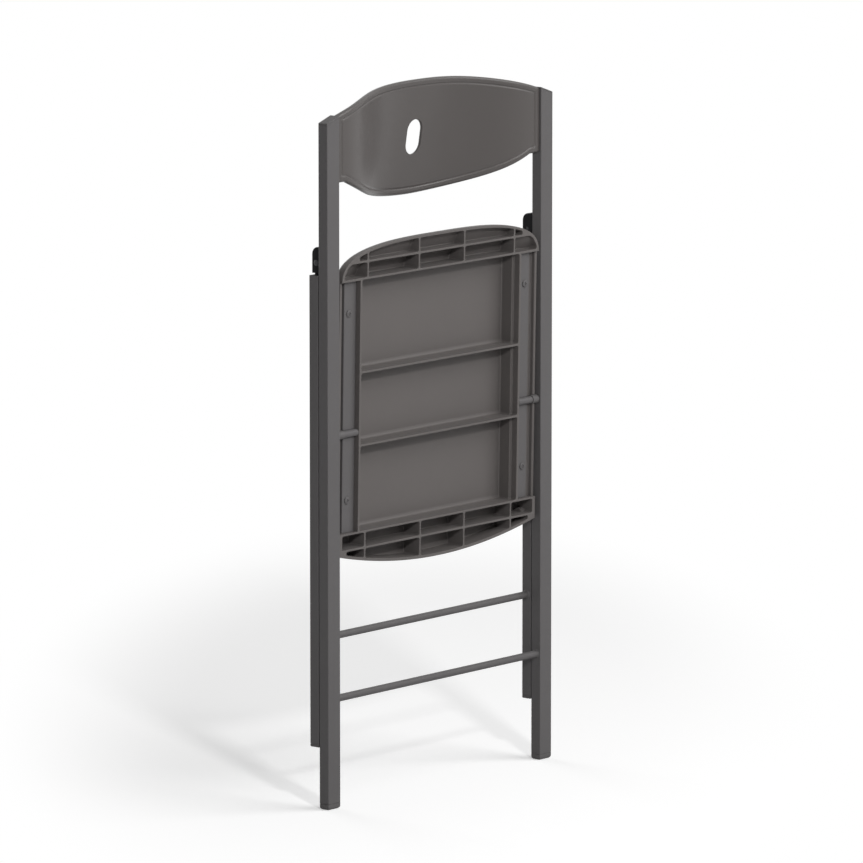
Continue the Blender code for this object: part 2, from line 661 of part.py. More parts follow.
# Seat, with places measured from the pivot axis; y runs from the rim to the sitting face

def seat_front_edge(x, inset=0.0):
    """How far forward the seat reaches at a place across it."""
    share = min(abs(x) / (SEAT_HALF - inset), 1.0)
    rise = (1 - share ** FRONT_ARC_SIDE_POWER) ** (1 / FRONT_ARC_RISE_POWER)
    return SEAT_SHOULDER + (SEAT_FRONT_RISE - inset) * rise


def seat_rear_edge(x, inset=0.0):
    """How far back the seat reaches, as a height below the pivot."""
    return -SEAT_REAR + inset + SEAT_REAR_RISE * (x / SEAT_HALF) ** 2


def seat_outline(inset):
    """The seat's outline, drawn in by an inset: the front edge, then the rear edge at the same places."""
    half = SEAT_HALF - inset
    step = math.pi / (2 * SEAT_ARC_STEPS + 1)    # the middle one runs level across the seat's middle
    quarter = []
    for i in range(SEAT_ARC_STEPS + 1):
        quarter.append((half * math.cos(i * step) ** (2 / FRONT_ARC_SIDE_POWER),
                        SEAT_SHOULDER + (SEAT_FRONT_RISE - inset)
                        * math.sin(i * step) ** (2 / FRONT_ARC_RISE_POWER)))
    points = quarter + [(-x, z) for x, z in reversed(quarter)]
    return points + [(x, seat_rear_edge(x, inset)) for x, _ in reversed(points)]


def sitting_face(x):
    """Where the sitting face lies at a place across the seat, without its round edge."""
    return SEAT_RIM + SEAT_THICKNESS - SEAT_DISH * (1 - (x / SEAT_HALF) ** 2)


def seat_block(bm):
    """The seat without its hollows: a flat rim side, round edges and a dished sitting face."""
    rings = [along_y(seat_outline(0.0), SEAT_RIM)]
    for i in range(EDGE_STEPS + 1):
        angle = math.pi / 2 * i / EDGE_STEPS
        outline = seat_outline(SEAT_EDGE * (1 - math.cos(angle)))
        drop = SEAT_EDGE * (1 - math.sin(angle))
        rings.append([(x, sitting_face(x) - drop, z) for x, z in outline])
    loops = [[bm.verts.new(point) for point in ring] for ring in rings]
    bm.faces.new(list(reversed(loops[0])))
    for near, far in zip(loops, loops[1:]):
        for i in range(len(near)):
            j = (i + 1) % len(near)
            bm.faces.new((near[i], near[j], far[j], far[i]))
    face = loops[-1]
    for i in range(len(face) // 2 - 1):
        bm.faces.new((face[i], face[i + 1], face[-2 - i], face[-1 - i]))


def cell(low, high, start, end):
    """The outline of a hollow between two ribs, as far as it is high enough to mould."""
    count = math.ceil((end - start) / SMALLEST_CELL)
    places = [start + (end - start) * i / count for i in range(count + 1)]
    places = [x for x in places if high(x) - low(x) > SMALLEST_CELL]
    start, end = places[0], places[-1]
    spans = [start + (end - start) * i / CELL_STEPS for i in range(CELL_STEPS + 1)]
    return [(x, low(x)) for x in spans] + [(x, high(x)) for x in reversed(spans)]


def seat_cells():
    """Outlines of the hollows in the seat's front and rear compartments."""
    half = RIB_THICKNESS / 2
    cells = []
    side = SEAT_HALF - SEAT_RIM_WALL
    columns = [-side - half, -OUTER_RIB, -FRONT_INNER_RIB, FRONT_INNER_RIB, OUTER_RIB, side + half]
    for start, end in zip(columns, columns[1:]):
        cells.append(cell(level(FRONT_RIB + half),
                          lambda x: min(FRONT_MIDDLE_RIB - half, seat_front_edge(x, SEAT_RIM_WALL)),
                          start + half, end - half))
        cells.append(cell(level(FRONT_MIDDLE_RIB + half),
                          lambda x: seat_front_edge(x, SEAT_RIM_WALL), start + half, end - half))
    side = SEAT_HALF - REAR_END_WALL
    columns = [-side - half, -OUTER_RIB, REAR_INNER_RIB_SHIFT - REAR_INNER_RIB,
               REAR_INNER_RIB_SHIFT + REAR_INNER_RIB, OUTER_RIB, side + half]
    for start, end in zip(columns, columns[1:]):
        cells.append(cell(level(half - REAR_MIDDLE_RIB), level(-REAR_RIB - half),
                          start + half, end - half))
        cells.append(cell(lambda x: seat_rear_edge(x, SEAT_RIM_WALL), level(-REAR_MIDDLE_RIB - half),
                          start + half, end - half))
    return cells


def seat_bays():
    """The three wide bays between the crest walls, stepped in at the sides, and the two rail beds."""
    half = RIB_THICKNESS / 2
    before = SEAT_RIM - CUT_PAST
    step = SEAT_RIM + CREST_STEP_DEPTH
    upper = CREST_OUTER - CREST_WALL
    lower = upper - CREST_STEP
    bay = [(-upper, before), (upper, before), (upper, step), (lower, step), (lower, SEAT_FLOOR),
           (-lower, SEAT_FLOOR), (-lower, step), (-upper, step)]
    ribs = [-REAR_RIB, -LOWER_CROSS_RIB, UPPER_CROSS_RIB, FRONT_RIB]
    bm = bmesh.new()
    for low, high in zip(ribs, ribs[1:]):
        loft(bm, [along_z(bay, low + half), along_z(bay, high - half)])
    crest = SEAT_HALF - OUTER_CREST_WALL
    channel = [(CREST_OUTER, before), (SEAT_HALF + CUT_PAST, before),
               (SEAT_HALF + CUT_PAST, SEAT_RIM + OUTER_CREST_SINK), (crest, SEAT_RIM + OUTER_CREST_SINK),
               (crest, SEAT_RIM + LEDGE_SINK), (RAIL_OUTER + FIT_GAP, SEAT_RIM + LEDGE_SINK),
               (RAIL_OUTER + FIT_GAP, RAIL_BED), (CREST_OUTER, RAIL_BED)]
    for side in (-1, 1):
        outline = [(side * x, y) for x, y in channel]
        loft(bm, [along_z(outline, half - REAR_RIB), along_z(outline, FRONT_RIB - half)])
    return bm


def seat_shell(parent):
    """A moulded plate with a rim, ribbed ends, crest walls and cross ribs on its underside."""
    bm = bmesh.new()
    seat_block(bm)
    obj = piece("seat_shell", bm, parent, GREY_PLASTIC)

    hollows = seat_bays()
    for outline in seat_cells():
        loft(hollows, [along_y(outline, SEAT_RIM - CUT_PAST), along_y(outline, SEAT_FLOOR)])
    shape(obj, "hollows", hollows, 'DIFFERENCE')

    bosses = bmesh.new()
    stud_bores = bmesh.new()
    wall = SEAT_HALF - REAR_END_WALL
    bore = STUD_DIAMETER / 2 + FIT_GAP
    for side in (-1, 1):
        turned_x(bosses, [(side * (wall - STUD_BOSS_LENGTH), bore + STUD_BOSS_WALL),
                          (side * (wall + REAR_END_WALL / 2), bore + STUD_BOSS_WALL)], STUD_IN_SEAT)
        turned_x(stud_bores, [(side * (SEAT_HALF - STUD_SEAT - FIT_GAP), bore),
                              (side * (SEAT_HALF + CUT_PAST), bore)], STUD_IN_SEAT)
    shape(obj, "stud_bosses", bosses, 'UNION')
    shape(obj, "stud_bores", stud_bores, 'DIFFERENCE')

    notches = bmesh.new()
    radius = BUSH_DIAMETER / 2 + RUN_GAP
    outline = arc((0, 0), radius, -90, 90, ROUND_SIDES // 2)
    outline += [(SEAT_RIM - CUT_PAST, radius), (SEAT_RIM - CUT_PAST, -radius)]
    for side in (-1, 1):
        loft(notches, [along_x(outline, side * (RAIL_OUTER - CUT_PAST)),
                       along_x(outline, side * (SEAT_HALF + CUT_PAST))])
        for _, z in RAIL_SCREW_ROWS:
            bite = RAIL_SCREW_DIAMETER / 2 + FIT_GAP
            turned_y(notches, [(RAIL_BED - CUT_PAST, bite),
                               (RAIL_BED + RAIL_SCREW_BITE + FIT_GAP, bite)], side * RAIL_SCREW_X, z)
    shape(obj, "notches", notches, 'DIFFERENCE')


def side_rail(name, side, parent):
    """A rectangular tube along the seat's side, notched for the pivot pin."""
    half = RIB_THICKNESS / 2 + FIT_GAP
    middle = (RAIL_INNER + RAIL_WIDTH / 2, RAIL_FACE + RAIL_DEPTH / 2)
    bm = bmesh.new()
    tube(bm, middle, (RAIL_WIDTH / 2, RAIL_DEPTH / 2), RAIL_WALL,
         level(half - REAR_RIB), level(FRONT_RIB - half))
    obj = piece(f"{name}_side_rail", mirrored(bm, side), parent, POWDER_COAT)
    cuts = bmesh.new()
    saddle = PIN_DIAMETER / 2 + FIT_GAP
    turned_x(cuts, [(RAIL_INNER - CUT_PAST, saddle), (RAIL_OUTER + CUT_PAST, saddle)])
    radius = RAIL_SCREW_DIAMETER / 2 + FIT_GAP
    for _, z in RAIL_SCREW_ROWS:
        turned_y(cuts, [(RAIL_FACE - CUT_PAST, radius), (RAIL_BED + CUT_PAST, radius)],
                 RAIL_SCREW_X, z)
    shape(obj, "cuts", mirrored(cuts, side), 'DIFFERENCE')


def rail_screws(name, side, parent):
    """Two screws through the rail into the seat shell."""
    seat = RAIL_FACE - FIT_GAP
    shank = RAIL_SCREW_DIAMETER / 2
    head = RAIL_SCREW_HEAD / 2
    profile = [(seat - RAIL_SCREW_HEAD_HEIGHT, head / 2), (seat - RAIL_SCREW_HEAD_HEIGHT / 2, head),
               (seat, head), (seat, shank), (RAIL_BED + RAIL_SCREW_BITE, shank)]
    for row, z in RAIL_SCREW_ROWS:
        bm = bmesh.new()
        turned_y(bm, profile, RAIL_SCREW_X, z)
        piece(f"{name}_{row}_rail_screw", mirrored(bm, side), parent, STEEL)


def pivot_pin(name, side, parent):
    """A stepped pin in the rail's notch, with its thinner end in the upright's bush."""
    shoulder = BUSH_INNER - FIT_GAP
    bm = bmesh.new()
    turned_x(bm, [(RAIL_INNER, PIN_DIAMETER / 2), (shoulder, PIN_DIAMETER / 2),
                  (shoulder, JOURNAL_DIAMETER / 2),
                  (INNER_FACE + JOURNAL_IN_UPRIGHT, JOURNAL_DIAMETER / 2)])
    piece(f"{name}_pivot_pin", mirrored(bm, side), parent, POWDER_COAT)


def guide_stud(name, side, parent):
    """A stud in the seat's rear corner, facing the rear leg's slot."""
    bm = bmesh.new()
    turned_x(bm, [(SEAT_HALF - STUD_SEAT, STUD_DIAMETER / 2),
                  (INNER_FACE - STUD_TIP_GAP, STUD_DIAMETER / 2)], STUD_IN_SEAT)
    piece(f"{name}_guide_stud", mirrored(bm, side), parent, STEEL)


def build():
    """The whole chair, folded."""
    for obj in list(bpy.data.objects):
        bpy.data.objects.remove(obj, do_unlink=True)

    frame = empty("frame", None, (0, -CHAIR_MIDDLE, 0))
    hinge_axis = empty("hinge_axis", frame, (0, LEG_PLANE, HINGE_HEIGHT))
    pivot_axis = empty("pivot_axis", frame, (0, 0, PIVOT_HEIGHT), SEAT_LEAN)

    backrest(frame)
    rod("front_rod", frame, UPRIGHT_WALL, (0, FRONT_ROD_HEIGHT))
    rod("rear_rod", hinge_axis, REAR_LEG_WALL, (0, REAR_ROD_HEIGHT - HINGE_HEIGHT))
    seat_shell(pivot_axis)
    for name, side in SIDES:
        for make in (upright, top_cap, foot, backrest_dowels, pivot_bush):
            make(name, side, frame)
        for make in (hinge_bracket, bracket_screws, hinge_pin, rear_leg, hinge_knuckle, rear_foot):
            make(name, side, hinge_axis)
        for make in (side_rail, rail_screws, pivot_pin, guide_stud):
            make(name, side, pivot_axis)
    print(f"rear legs swing {math.degrees(LEG_SWING):.2f} degrees, "
          f"{LEG_SWING / SEAT_SWING:.5f} of the seat's turn; chair middle {CHAIR_MIDDLE:.5f}")


build()
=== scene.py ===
"""Folding dining chair, folded: finishes, moulded shells, fasteners and studio around the fixed frame.

Laid out as an add-on and run as a script. Metres, +Z up, the chair's front towards -Y.
"""
import json
import math

import bmesh
import bpy
from mathutils import Matrix, Vector


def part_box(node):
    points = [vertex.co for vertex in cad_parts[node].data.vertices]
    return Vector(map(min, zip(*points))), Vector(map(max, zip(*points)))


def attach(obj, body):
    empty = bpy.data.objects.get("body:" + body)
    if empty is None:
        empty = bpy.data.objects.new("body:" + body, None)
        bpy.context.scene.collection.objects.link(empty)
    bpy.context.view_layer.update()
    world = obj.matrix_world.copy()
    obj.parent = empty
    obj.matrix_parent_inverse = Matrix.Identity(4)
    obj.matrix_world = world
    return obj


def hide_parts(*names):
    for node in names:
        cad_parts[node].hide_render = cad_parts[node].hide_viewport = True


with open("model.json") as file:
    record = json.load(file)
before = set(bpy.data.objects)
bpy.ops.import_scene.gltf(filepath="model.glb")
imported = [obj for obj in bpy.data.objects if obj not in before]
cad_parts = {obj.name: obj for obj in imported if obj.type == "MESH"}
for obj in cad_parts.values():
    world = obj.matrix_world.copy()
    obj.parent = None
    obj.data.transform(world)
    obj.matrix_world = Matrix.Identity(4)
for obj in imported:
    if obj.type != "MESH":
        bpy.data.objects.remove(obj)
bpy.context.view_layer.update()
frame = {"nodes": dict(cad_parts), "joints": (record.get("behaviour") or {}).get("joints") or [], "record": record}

bl_info = {
    "name": "Folding dining chair",
    "version": (1, 0, 0),
    "blender": (4, 5, 0),
    "location": "View3D > Sidebar > Chair",
    "description": "Dresses the folding chair's frame with its finishes, mouldings, fasteners and studio",
    "category": "Object",
}

# Places read from the frame
SIDES = ("left", "right")
BACKREST_LOW, BACKREST_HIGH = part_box("backrest")
INNER_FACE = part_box("right_upright")[0].x
SEAT_PIVOT = Vector(next(joint["pos_m"] for joint in frame["joints"] if joint["name"] == "seat_fold"))

# Rib lines of the seat's underside, from the pivot: heights along the seat, places across it
FRONT_RIB, FRONT_MIDDLE_RIB = 0.2085, 0.2315
REAR_RIB, REAR_MIDDLE_RIB = -0.137, -0.1592
CROSS_RIBS = (-0.0186, 0.081)
FRONT_COLUMNS = (-0.1545, -0.0476, 0.0476, 0.1545)
REAR_COLUMNS = (-0.1545, -0.0385, 0.0545, 0.1545)
CREST_OUTER, RAIL_OUTER = 0.1699, 0.1952

# Sizes that the mouldings share with the pieces set into them
FIT_GAP = 0.0003              # between pieces that touch
RUN_GAP = 0.0005              # between pieces that move past each other
PAST = 0.001                  # how far a cutter stands past what it cuts
RAIL_SINK, RAIL_DEPTH = 0.007, 0.016
CREST_WALL, CREST_STEP, CREST_STEP_DEPTH = 0.004, 0.004, 0.010
OUTER_CREST_WALL, OUTER_CREST_SINK = 0.0042, 0.004
LEDGE_SINK = 0.010            # of the ledge beside a rail, behind the rim
REAR_END_WALL = 0.0062        # between the rear cells and the seat's sides
STUD_RADIUS, STUD_BORE = 0.0037, 0.0123
BUSH_RADIUS = 0.0061
RAIL_SCREW_HEIGHT, RAIL_SCREW_SHANK, RAIL_SCREW_LENGTH = 0.0016, 0.004, 0.0205
BRACKET_SCREW_HEIGHT, BRACKET_SCREW_SHANK = 0.002, 0.0034
RIVET_HEIGHT, RIVET_SHANK = 0.0014, 0.005

# Shapes of the seat's outline and hollows
FRONT_SIDE_POWER, FRONT_RISE_POWER = 3.0, 2.6
FRONT_STEPS = 60              # points along half of the front edge
FALL_ROWS = 8                 # rows of faces from the front edge back to the flat sitting face
FLOOR_WALL = 0.0022           # least wall between a hollow and the sitting face
FLOOR_FILLET = 0.0016         # round a hollow's floor
SMALLEST_CELL = 0.005

# Round a stud's bore: place from the inner face of the seat's side wall, wall round the bore
BOSS_PROFILE = ((-0.009, 0.0022), (-0.0084, 0.003), (0.003, 0.003))

# Across the backrest's rim, behind: place from the band's inner edge, share of the panel's thinning
RIM_BACK = ((0.0035, 1.0), (0.002, 0.94), (0.0006, 0.5), (-0.0006, 0.06), (-0.002, 0.0))

# Across the rim, in front: place from the band's inner edge, shares of the groove and of the panel's step,
# and how far the point follows the groove along the backrest's ends
RIM_FRONT = ((-0.0020, 0.0, 0.0, 0.0), (-0.0014, 0.15, 0.0, 0.0), (-0.0004, 0.85, 0.0, 0.0),
             (0.0, 1.0, 0.0, 0.0), (0.0006, 0.9, 0.0, 0.3), (0.0020, 0.2, 0.8, 1.0), (0.0030, 0.0, 1.0, 1.0))
RIM_ROUND_STEPS = 8


# Sizes and colours

class ChairBackrest(bpy.types.PropertyGroup):
    """Sizes of the moulded backrest."""
    rim_depth: bpy.props.FloatProperty(
        name="Rim Depth", description="From the rim's front to its back", default=0.009, unit='LENGTH')
    rim_band: bpy.props.FloatProperty(
        name="Rim Band", description="Width of the rolled rim", default=0.009, unit='LENGTH')
    rim_round: bpy.props.FloatProperty(
        name="Rim Round", description="Radius of the rim's edges", default=0.004, unit='LENGTH')
    groove: bpy.props.FloatProperty(
        name="Groove", description="Depth of the line inside the rim", default=0.0011, unit='LENGTH')
    panel_step: bpy.props.FloatProperty(
        name="Panel Step", description="From the rim's front back to the panel's", default=0.0004,
        unit='LENGTH')
    panel: bpy.props.FloatProperty(
        name="Panel", description="Thickness inside the rim", default=0.004, unit='LENGTH')
    top_fall: bpy.props.FloatProperty(
        name="Top Fall", description="From the middle to the ends", default=0.0278, unit='LENGTH')
    top_power: bpy.props.FloatProperty(
        name="Top Power", description="How late the top falls", default=2.32)
    bottom_rise: bpy.props.FloatProperty(
        name="Bottom Rise", description="From the middle to the ends", default=0.0411, unit='LENGTH')
    bottom_power: bpy.props.FloatProperty(
        name="Bottom Power", description="How late the bottom rises", default=2.07)
    end_run: bpy.props.FloatProperty(
        name="End Run", description="Level stretch of the lower edge at either end", default=0.0172,
        unit='LENGTH')
    upper_hollow: bpy.props.FloatProperty(
        name="Upper Hollow", description="Depth of the curve along the upper edge", default=0.0331,
        unit='LENGTH')
    upper_hollow_power: bpy.props.FloatProperty(
        name="Upper Hollow Power", description="How late the upper edge comes forward", default=3.57)
    lower_hollow: bpy.props.FloatProperty(
        name="Lower Hollow", description="Depth of the curve along the lower edge", default=0.0574,
        unit='LENGTH')
    lower_hollow_power: bpy.props.FloatProperty(
        name="Lower Hollow Power", description="How late the lower edge comes forward", default=2.8)
    ease: bpy.props.FloatProperty(
        name="Ease", description="How softly the hollow starts at the ends", default=3.7)
    hole_width: bpy.props.FloatProperty(
        name="Hole Width", description="Across the hand hole", default=0.030, unit='LENGTH')
    hole_length: bpy.props.FloatProperty(
        name="Hole Length", description="Height of the hand hole", default=0.048, unit='LENGTH')
    stations: bpy.props.IntProperty(
        name="Stations", description="Sections across the backrest", default=161)


class ChairSeat(bpy.types.PropertyGroup):
    """Sizes of the moulded seat shell."""
    lean: bpy.props.FloatProperty(
        name="Lean", description="Of the folded seat, forwards", default=math.radians(1.0), unit='ROTATION')
    half: bpy.props.FloatProperty(
        name="Half Width", description="From the middle to a side", default=0.2077, unit='LENGTH')
    rim: bpy.props.FloatProperty(
        name="Rim", description="The rim's plane, from the pivot", default=-0.0051, unit='LENGTH')
    thickness: bpy.props.FloatProperty(
        name="Thickness", description="From the rim to the sitting face", default=0.0325, unit='LENGTH')
    panel: bpy.props.FloatProperty(
        name="Panel", description="Thickness between the ribs", default=0.0045, unit='LENGTH')
    dish: bpy.props.FloatProperty(
        name="Dish", description="Hollow of the sitting face", default=0.0025, unit='LENGTH')
    edge: bpy.props.FloatProperty(
        name="Edge", description="Radius of the sitting face's edge", default=0.008, unit='LENGTH')
    front_fall: bpy.props.FloatProperty(
        name="Front Fall", description="Of the sitting face, at the front edge", default=0.017, unit='LENGTH')
    fall_run: bpy.props.FloatProperty(
        name="Fall Run", description="From the front edge back to the flat sitting face", default=0.044,
        unit='LENGTH')
    rib: bpy.props.FloatProperty(
        name="Rib", description="Thickness of a rib", default=0.003, unit='LENGTH')
    rim_wall: bpy.props.FloatProperty(
        name="Rim Wall", description="Thickness of the rim", default=0.004, unit='LENGTH')
    crest: bpy.props.FloatProperty(
        name="Crest Round", description="Radius along the ribs' crests", default=0.0008, unit='LENGTH')
    corner: bpy.props.FloatProperty(
        name="Corner Round", description="Radius in the hollows' corners", default=0.003, unit='LENGTH')
    fillet: bpy.props.FloatProperty(
        name="Fillet", description="Radius between the bays' floors and the ribs under them", default=0.004,
        unit='LENGTH')
    draft: bpy.props.FloatProperty(
        name="Draft", description="How much a hollow narrows to its floor", default=0.0004, unit='LENGTH')
    shoulder: bpy.props.FloatProperty(
        name="Shoulder", description="Where the front edge starts to curve", default=0.2047, unit='LENGTH')
    front_rise: bpy.props.FloatProperty(
        name="Front Rise", description="Of the front edge above the shoulder", default=0.0513, unit='LENGTH')
    rear: bpy.props.FloatProperty(
        name="Rear", description="From the pivot to the rear edge", default=0.1908, unit='LENGTH')
    rear_rise: bpy.props.FloatProperty(
        name="Rear Rise", description="Of the rear edge at the sides", default=0.0246, unit='LENGTH')


class ChairFasteners(bpy.types.PropertyGroup):
    """Sizes of the rods, screws and rivets."""
    rod: bpy.props.FloatProperty(
        name="Rod", description="Diameter of the rods", default=0.010, unit='LENGTH')
    weld: bpy.props.FloatProperty(
        name="Weld", description="Width of the weld at a rod's end", default=0.0022, unit='LENGTH')
    rail_head: bpy.props.FloatProperty(
        name="Rail Screw Head", description="Diameter of the rail screws' heads", default=0.0098,
        unit='LENGTH')
    bracket_head: bpy.props.FloatProperty(
        name="Bracket Screw Head", description="Diameter of the bracket screws' heads", default=0.0058,
        unit='LENGTH')
    rivet_head: bpy.props.FloatProperty(
        name="Rivet Head", description="Diameter of the hinge rivets' heads", default=0.0085, unit='LENGTH')
    edge: bpy.props.FloatProperty(
        name="Edge", description="Broken edges of the tubes and plugs", default=0.0004, unit='LENGTH')


class ChairFinishes(bpy.types.PropertyGroup):
    """Colours of the finishes."""
    powder_coat: bpy.props.FloatVectorProperty(
        name="Powder Coat", description="The steel tubes and rods", subtype='COLOR', size=3,
        default=(0.112, 0.107, 0.108))
    moulded: bpy.props.FloatVectorProperty(
        name="Moulded Grey", description="The seat", subtype='COLOR', size=3,
        default=(0.121, 0.111, 0.107))
    # Darker than the seat's moulded grey, though both are one plastic. This is partly to offset the backrest's
    # glossier reflections, and partly painted shade for the darker look the backrest takes under the lights.
    backrest: bpy.props.FloatVectorProperty(
        name="Backrest Grey", description="The glossier backrest", subtype='COLOR', size=3,
        default=(0.082, 0.074, 0.071))
    plugs: bpy.props.FloatVectorProperty(
        name="Grey Plastic", description="Caps, feet and bushes", subtype='COLOR', size=3,
        default=(0.112, 0.107, 0.107))
    black: bpy.props.FloatVectorProperty(
        name="Black Plastic", description="Hinge pieces", subtype='COLOR', size=3,
        default=(0.012, 0.012, 0.013))
    zinc: bpy.props.FloatVectorProperty(
        name="Zinc", description="Screws, dowels and studs", subtype='COLOR', size=3,
        default=(0.30, 0.30, 0.31))
    black_steel: bpy.props.FloatVectorProperty(
        name="Black Steel", description="Hinge rivets", subtype='COLOR', size=3,
        default=(0.03, 0.03, 0.032))


class ChairStage(bpy.types.PropertyGroup):
    """The studio: camera, lights and floor."""
    camera_place: bpy.props.FloatVectorProperty(
        name="Camera", description="Where the camera stands", subtype='TRANSLATION',
        default=(-8.617, -7.2462, 2.2977))
    camera_target: bpy.props.FloatVectorProperty(
        name="Target", description="What the camera looks at", subtype='TRANSLATION',
        default=(-0.005, -0.0199, 0.488))
    lens: bpy.props.FloatProperty(
        name="Lens", description="Focal length on a 36 mm sensor", default=349.1, unit='CAMERA')
    key_place: bpy.props.FloatVectorProperty(
        name="Key", description="Where the softbox stands", subtype='TRANSLATION', default=(1.55, -2.7, 2.9))
    key_power: bpy.props.FloatProperty(
        name="Key Power", description="Of the softbox", default=106.0, unit='POWER')
    side_place: bpy.props.FloatVectorProperty(
        name="Side Lamp", description="Where the small lamp stands", subtype='TRANSLATION',
        default=(-1.9, -2.95, 2.3))
    side_power: bpy.props.FloatProperty(
        name="Side Power", description="Of the small lamp", default=58.0, unit='POWER')
    back_place: bpy.props.FloatVectorProperty(
        name="Back Softbox", description="Where the softbox behind the chair stands", subtype='TRANSLATION',
        default=(0.9, 3.6, 1.1))
    back_power: bpy.props.FloatProperty(
        name="Back Power", description="Of the softbox behind the chair", default=42.0, unit='POWER')
    sky: bpy.props.FloatProperty(
        name="Sky", description="Strength of the even light from all round", default=0.15)
    shadow: bpy.props.FloatProperty(
        name="Shadow", description="How much of the shadow the floor shows", default=0.6, subtype='FACTOR')


# Node trees

class Rule:
    """A number in a node tree, so that a shape's rule can be written as a sum."""

    def __init__(self, tree, socket):
        self.tree, self.socket = tree, socket

    def step(self, operation, *others):
        node = self.tree.nodes.new("ShaderNodeMath")
        node.operation = operation
        for socket, value in zip(node.inputs, (self, *others)):
            feed(self.tree, socket, value)
        return Rule(self.tree, node.outputs[0])

    def __add__(self, other):
        return self.step('ADD', other)

    def __sub__(self, other):
        return self.step('SUBTRACT', other)

    def __rsub__(self, other):
        return self.step('MULTIPLY_ADD', -1.0, other)

    def __mul__(self, other):
        return self.step('MULTIPLY', other)

    def __truediv__(self, other):
        return self.step('DIVIDE', other)

    def __pow__(self, other):
        return self.step('POWER', other)

    def __abs__(self):
        return self.step('ABSOLUTE')


def feed(tree, socket, value):
    """Link a socket to another one, or set it."""
    if isinstance(value, Rule):
        tree.links.new(value.socket, socket)
    elif isinstance(value, bpy.types.NodeSocket):
        tree.links.new(value, socket)
    else:
        socket.default_value = value


def add(tree, kind, inputs=None, **settings):
    """A node with its settings, and its inputs linked or set by name."""
    node = tree.nodes.new(kind)
    for key, value in settings.items():
        setattr(node, key, value)
    for key, value in (inputs or {}).items():
        feed(tree, node.inputs[key], value)
    return node


def position(tree):
    """The X, Y and Z of the point that a tree works on."""
    where = tree.nodes.new("GeometryNodeInputPosition").outputs["Position"]
    place = add(tree, "ShaderNodeSeparateXYZ", {"Vector": where})
    return [Rule(tree, place.outputs[axis]) for axis in "XYZ"]


def vector(tree, x=0.0, y=0.0, z=0.0):
    """A vector from three numbers."""
    return add(tree, "ShaderNodeCombineXYZ", {"X": x, "Y": y, "Z": z}).outputs["Vector"]


def new_tree(name, sizes):
    """A Geometry Nodes tree with named size inputs; returns the tree, its inputs and its output node."""
    tree = bpy.data.node_groups.new(name, 'GeometryNodeTree')
    tree.interface.new_socket("Geometry", in_out='INPUT', socket_type='NodeSocketGeometry')
    tree.interface.new_socket("Geometry", in_out='OUTPUT', socket_type='NodeSocketGeometry')
    for size in sizes:
        tree.interface.new_socket(size, in_out='INPUT', socket_type='NodeSocketFloat')
    tree.interface.new_socket("Material", in_out='INPUT', socket_type='NodeSocketMaterial')
    start = tree.nodes.new("NodeGroupInput")
    return tree, {socket.name: socket for socket in start.outputs}, tree.nodes.new("NodeGroupOutput")


def end_tree(tree, inputs, output, geometry):
    """Close a tree with Realize Instances and Set Material."""
    real = add(tree, "GeometryNodeRealizeInstances", {"Geometry": geometry})
    dressed = add(tree, "GeometryNodeSetMaterial",
                  {"Geometry": real.outputs["Geometry"], "Material": inputs["Material"]})
    tree.links.new(dressed.outputs["Geometry"], output.inputs["Geometry"])


def grow(name, base, tree, values):
    """Run a tree on a base mesh and keep the result as a plain mesh."""
    obj = link(name, base)
    modifier = obj.modifiers.new(tree.name, 'NODES')
    modifier.node_group = tree
    for item in tree.interface.items_tree:
        if item.in_out == 'INPUT' and item.name in values:
            modifier[item.identifier] = values[item.name]
    flatten(obj)
    return obj


# Meshes

def link(name, mesh):
    """An object in the scene, for a mesh, a lamp or a camera."""
    obj = bpy.data.objects.new(name, mesh)
    bpy.context.scene.collection.objects.link(obj)
    return obj


def flatten(obj):
    """Turn an object with modifiers into a plain mesh."""
    depsgraph = bpy.context.evaluated_depsgraph_get()
    mesh = bpy.data.meshes.new_from_object(obj.evaluated_get(depsgraph), depsgraph=depsgraph)
    obj.modifiers.clear()
    obj.data = mesh
    if not mesh.polygons:
        raise RuntimeError(f"{obj.name} has no faces")


def mesh_of(name, bm):
    """A mesh from a bmesh, with its faces turned outwards."""
    bmesh.ops.recalc_face_normals(bm, faces=bm.faces)
    mesh = bpy.data.meshes.new(name)
    bm.to_mesh(mesh)
    bm.free()
    return mesh


def skin(bm, loops):
    """Faces between each loop of points and the next."""
    for near, far in zip(loops, loops[1:]):
        for i in range(len(near)):
            j = (i + 1) % len(near)
            bm.faces.new((near[i], near[j], far[j], far[i]))


def loft(bm, rings):
    """A closed solid through rings of points."""
    loops = [[bm.verts.new(point) for point in ring] for ring in rings]
    bm.faces.new(reversed(loops[0]))
    bm.faces.new(loops[-1])
    skin(bm, loops)


def cut(obj, bm, operation='DIFFERENCE'):
    """Join a solid to an object, or cut it out of it."""
    tool = link("tool", mesh_of("tool", bm))
    modifier = obj.modifiers.new("cut", 'BOOLEAN')
    modifier.operation = operation
    modifier.solver = 'EXACT'
    modifier.object = tool
    flatten(obj)
    bpy.data.objects.remove(tool)


def smooth(obj, angle=38.0):
    """Smooth shading, with creases where faces meet at more than an angle and flat faces kept flat."""
    bm = bmesh.new()
    bm.from_mesh(obj.data)
    bmesh.ops.remove_doubles(bm, verts=bm.verts, dist=1e-6)
    bmesh.ops.dissolve_degenerate(bm, edges=bm.edges, dist=1e-7)
    for face in bm.faces:
        face.smooth = True
    for edge in bm.edges:
        edge.smooth = edge.is_manifold and edge.calc_face_angle(0.0) < math.radians(angle)
    bm.to_mesh(obj.data)
    bm.free()
    weighted = obj.modifiers.new("weighted", 'WEIGHTED_NORMAL')
    weighted.keep_sharp = True
    flatten(obj)


def dress(obj, material, body, slot, *nodes):
    """Give a finished piece its material and body, and hide the nodes it stands for; the slot is not used."""
    obj.data.materials.clear()
    obj.data.materials.append(material)
    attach(obj, body)
    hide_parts(*nodes)


def body_of(node):
    """The body that a node of the frame belongs to."""
    return next(body for body, nodes in frame["record"]["behaviour"]["bodies"].items() if node in nodes)


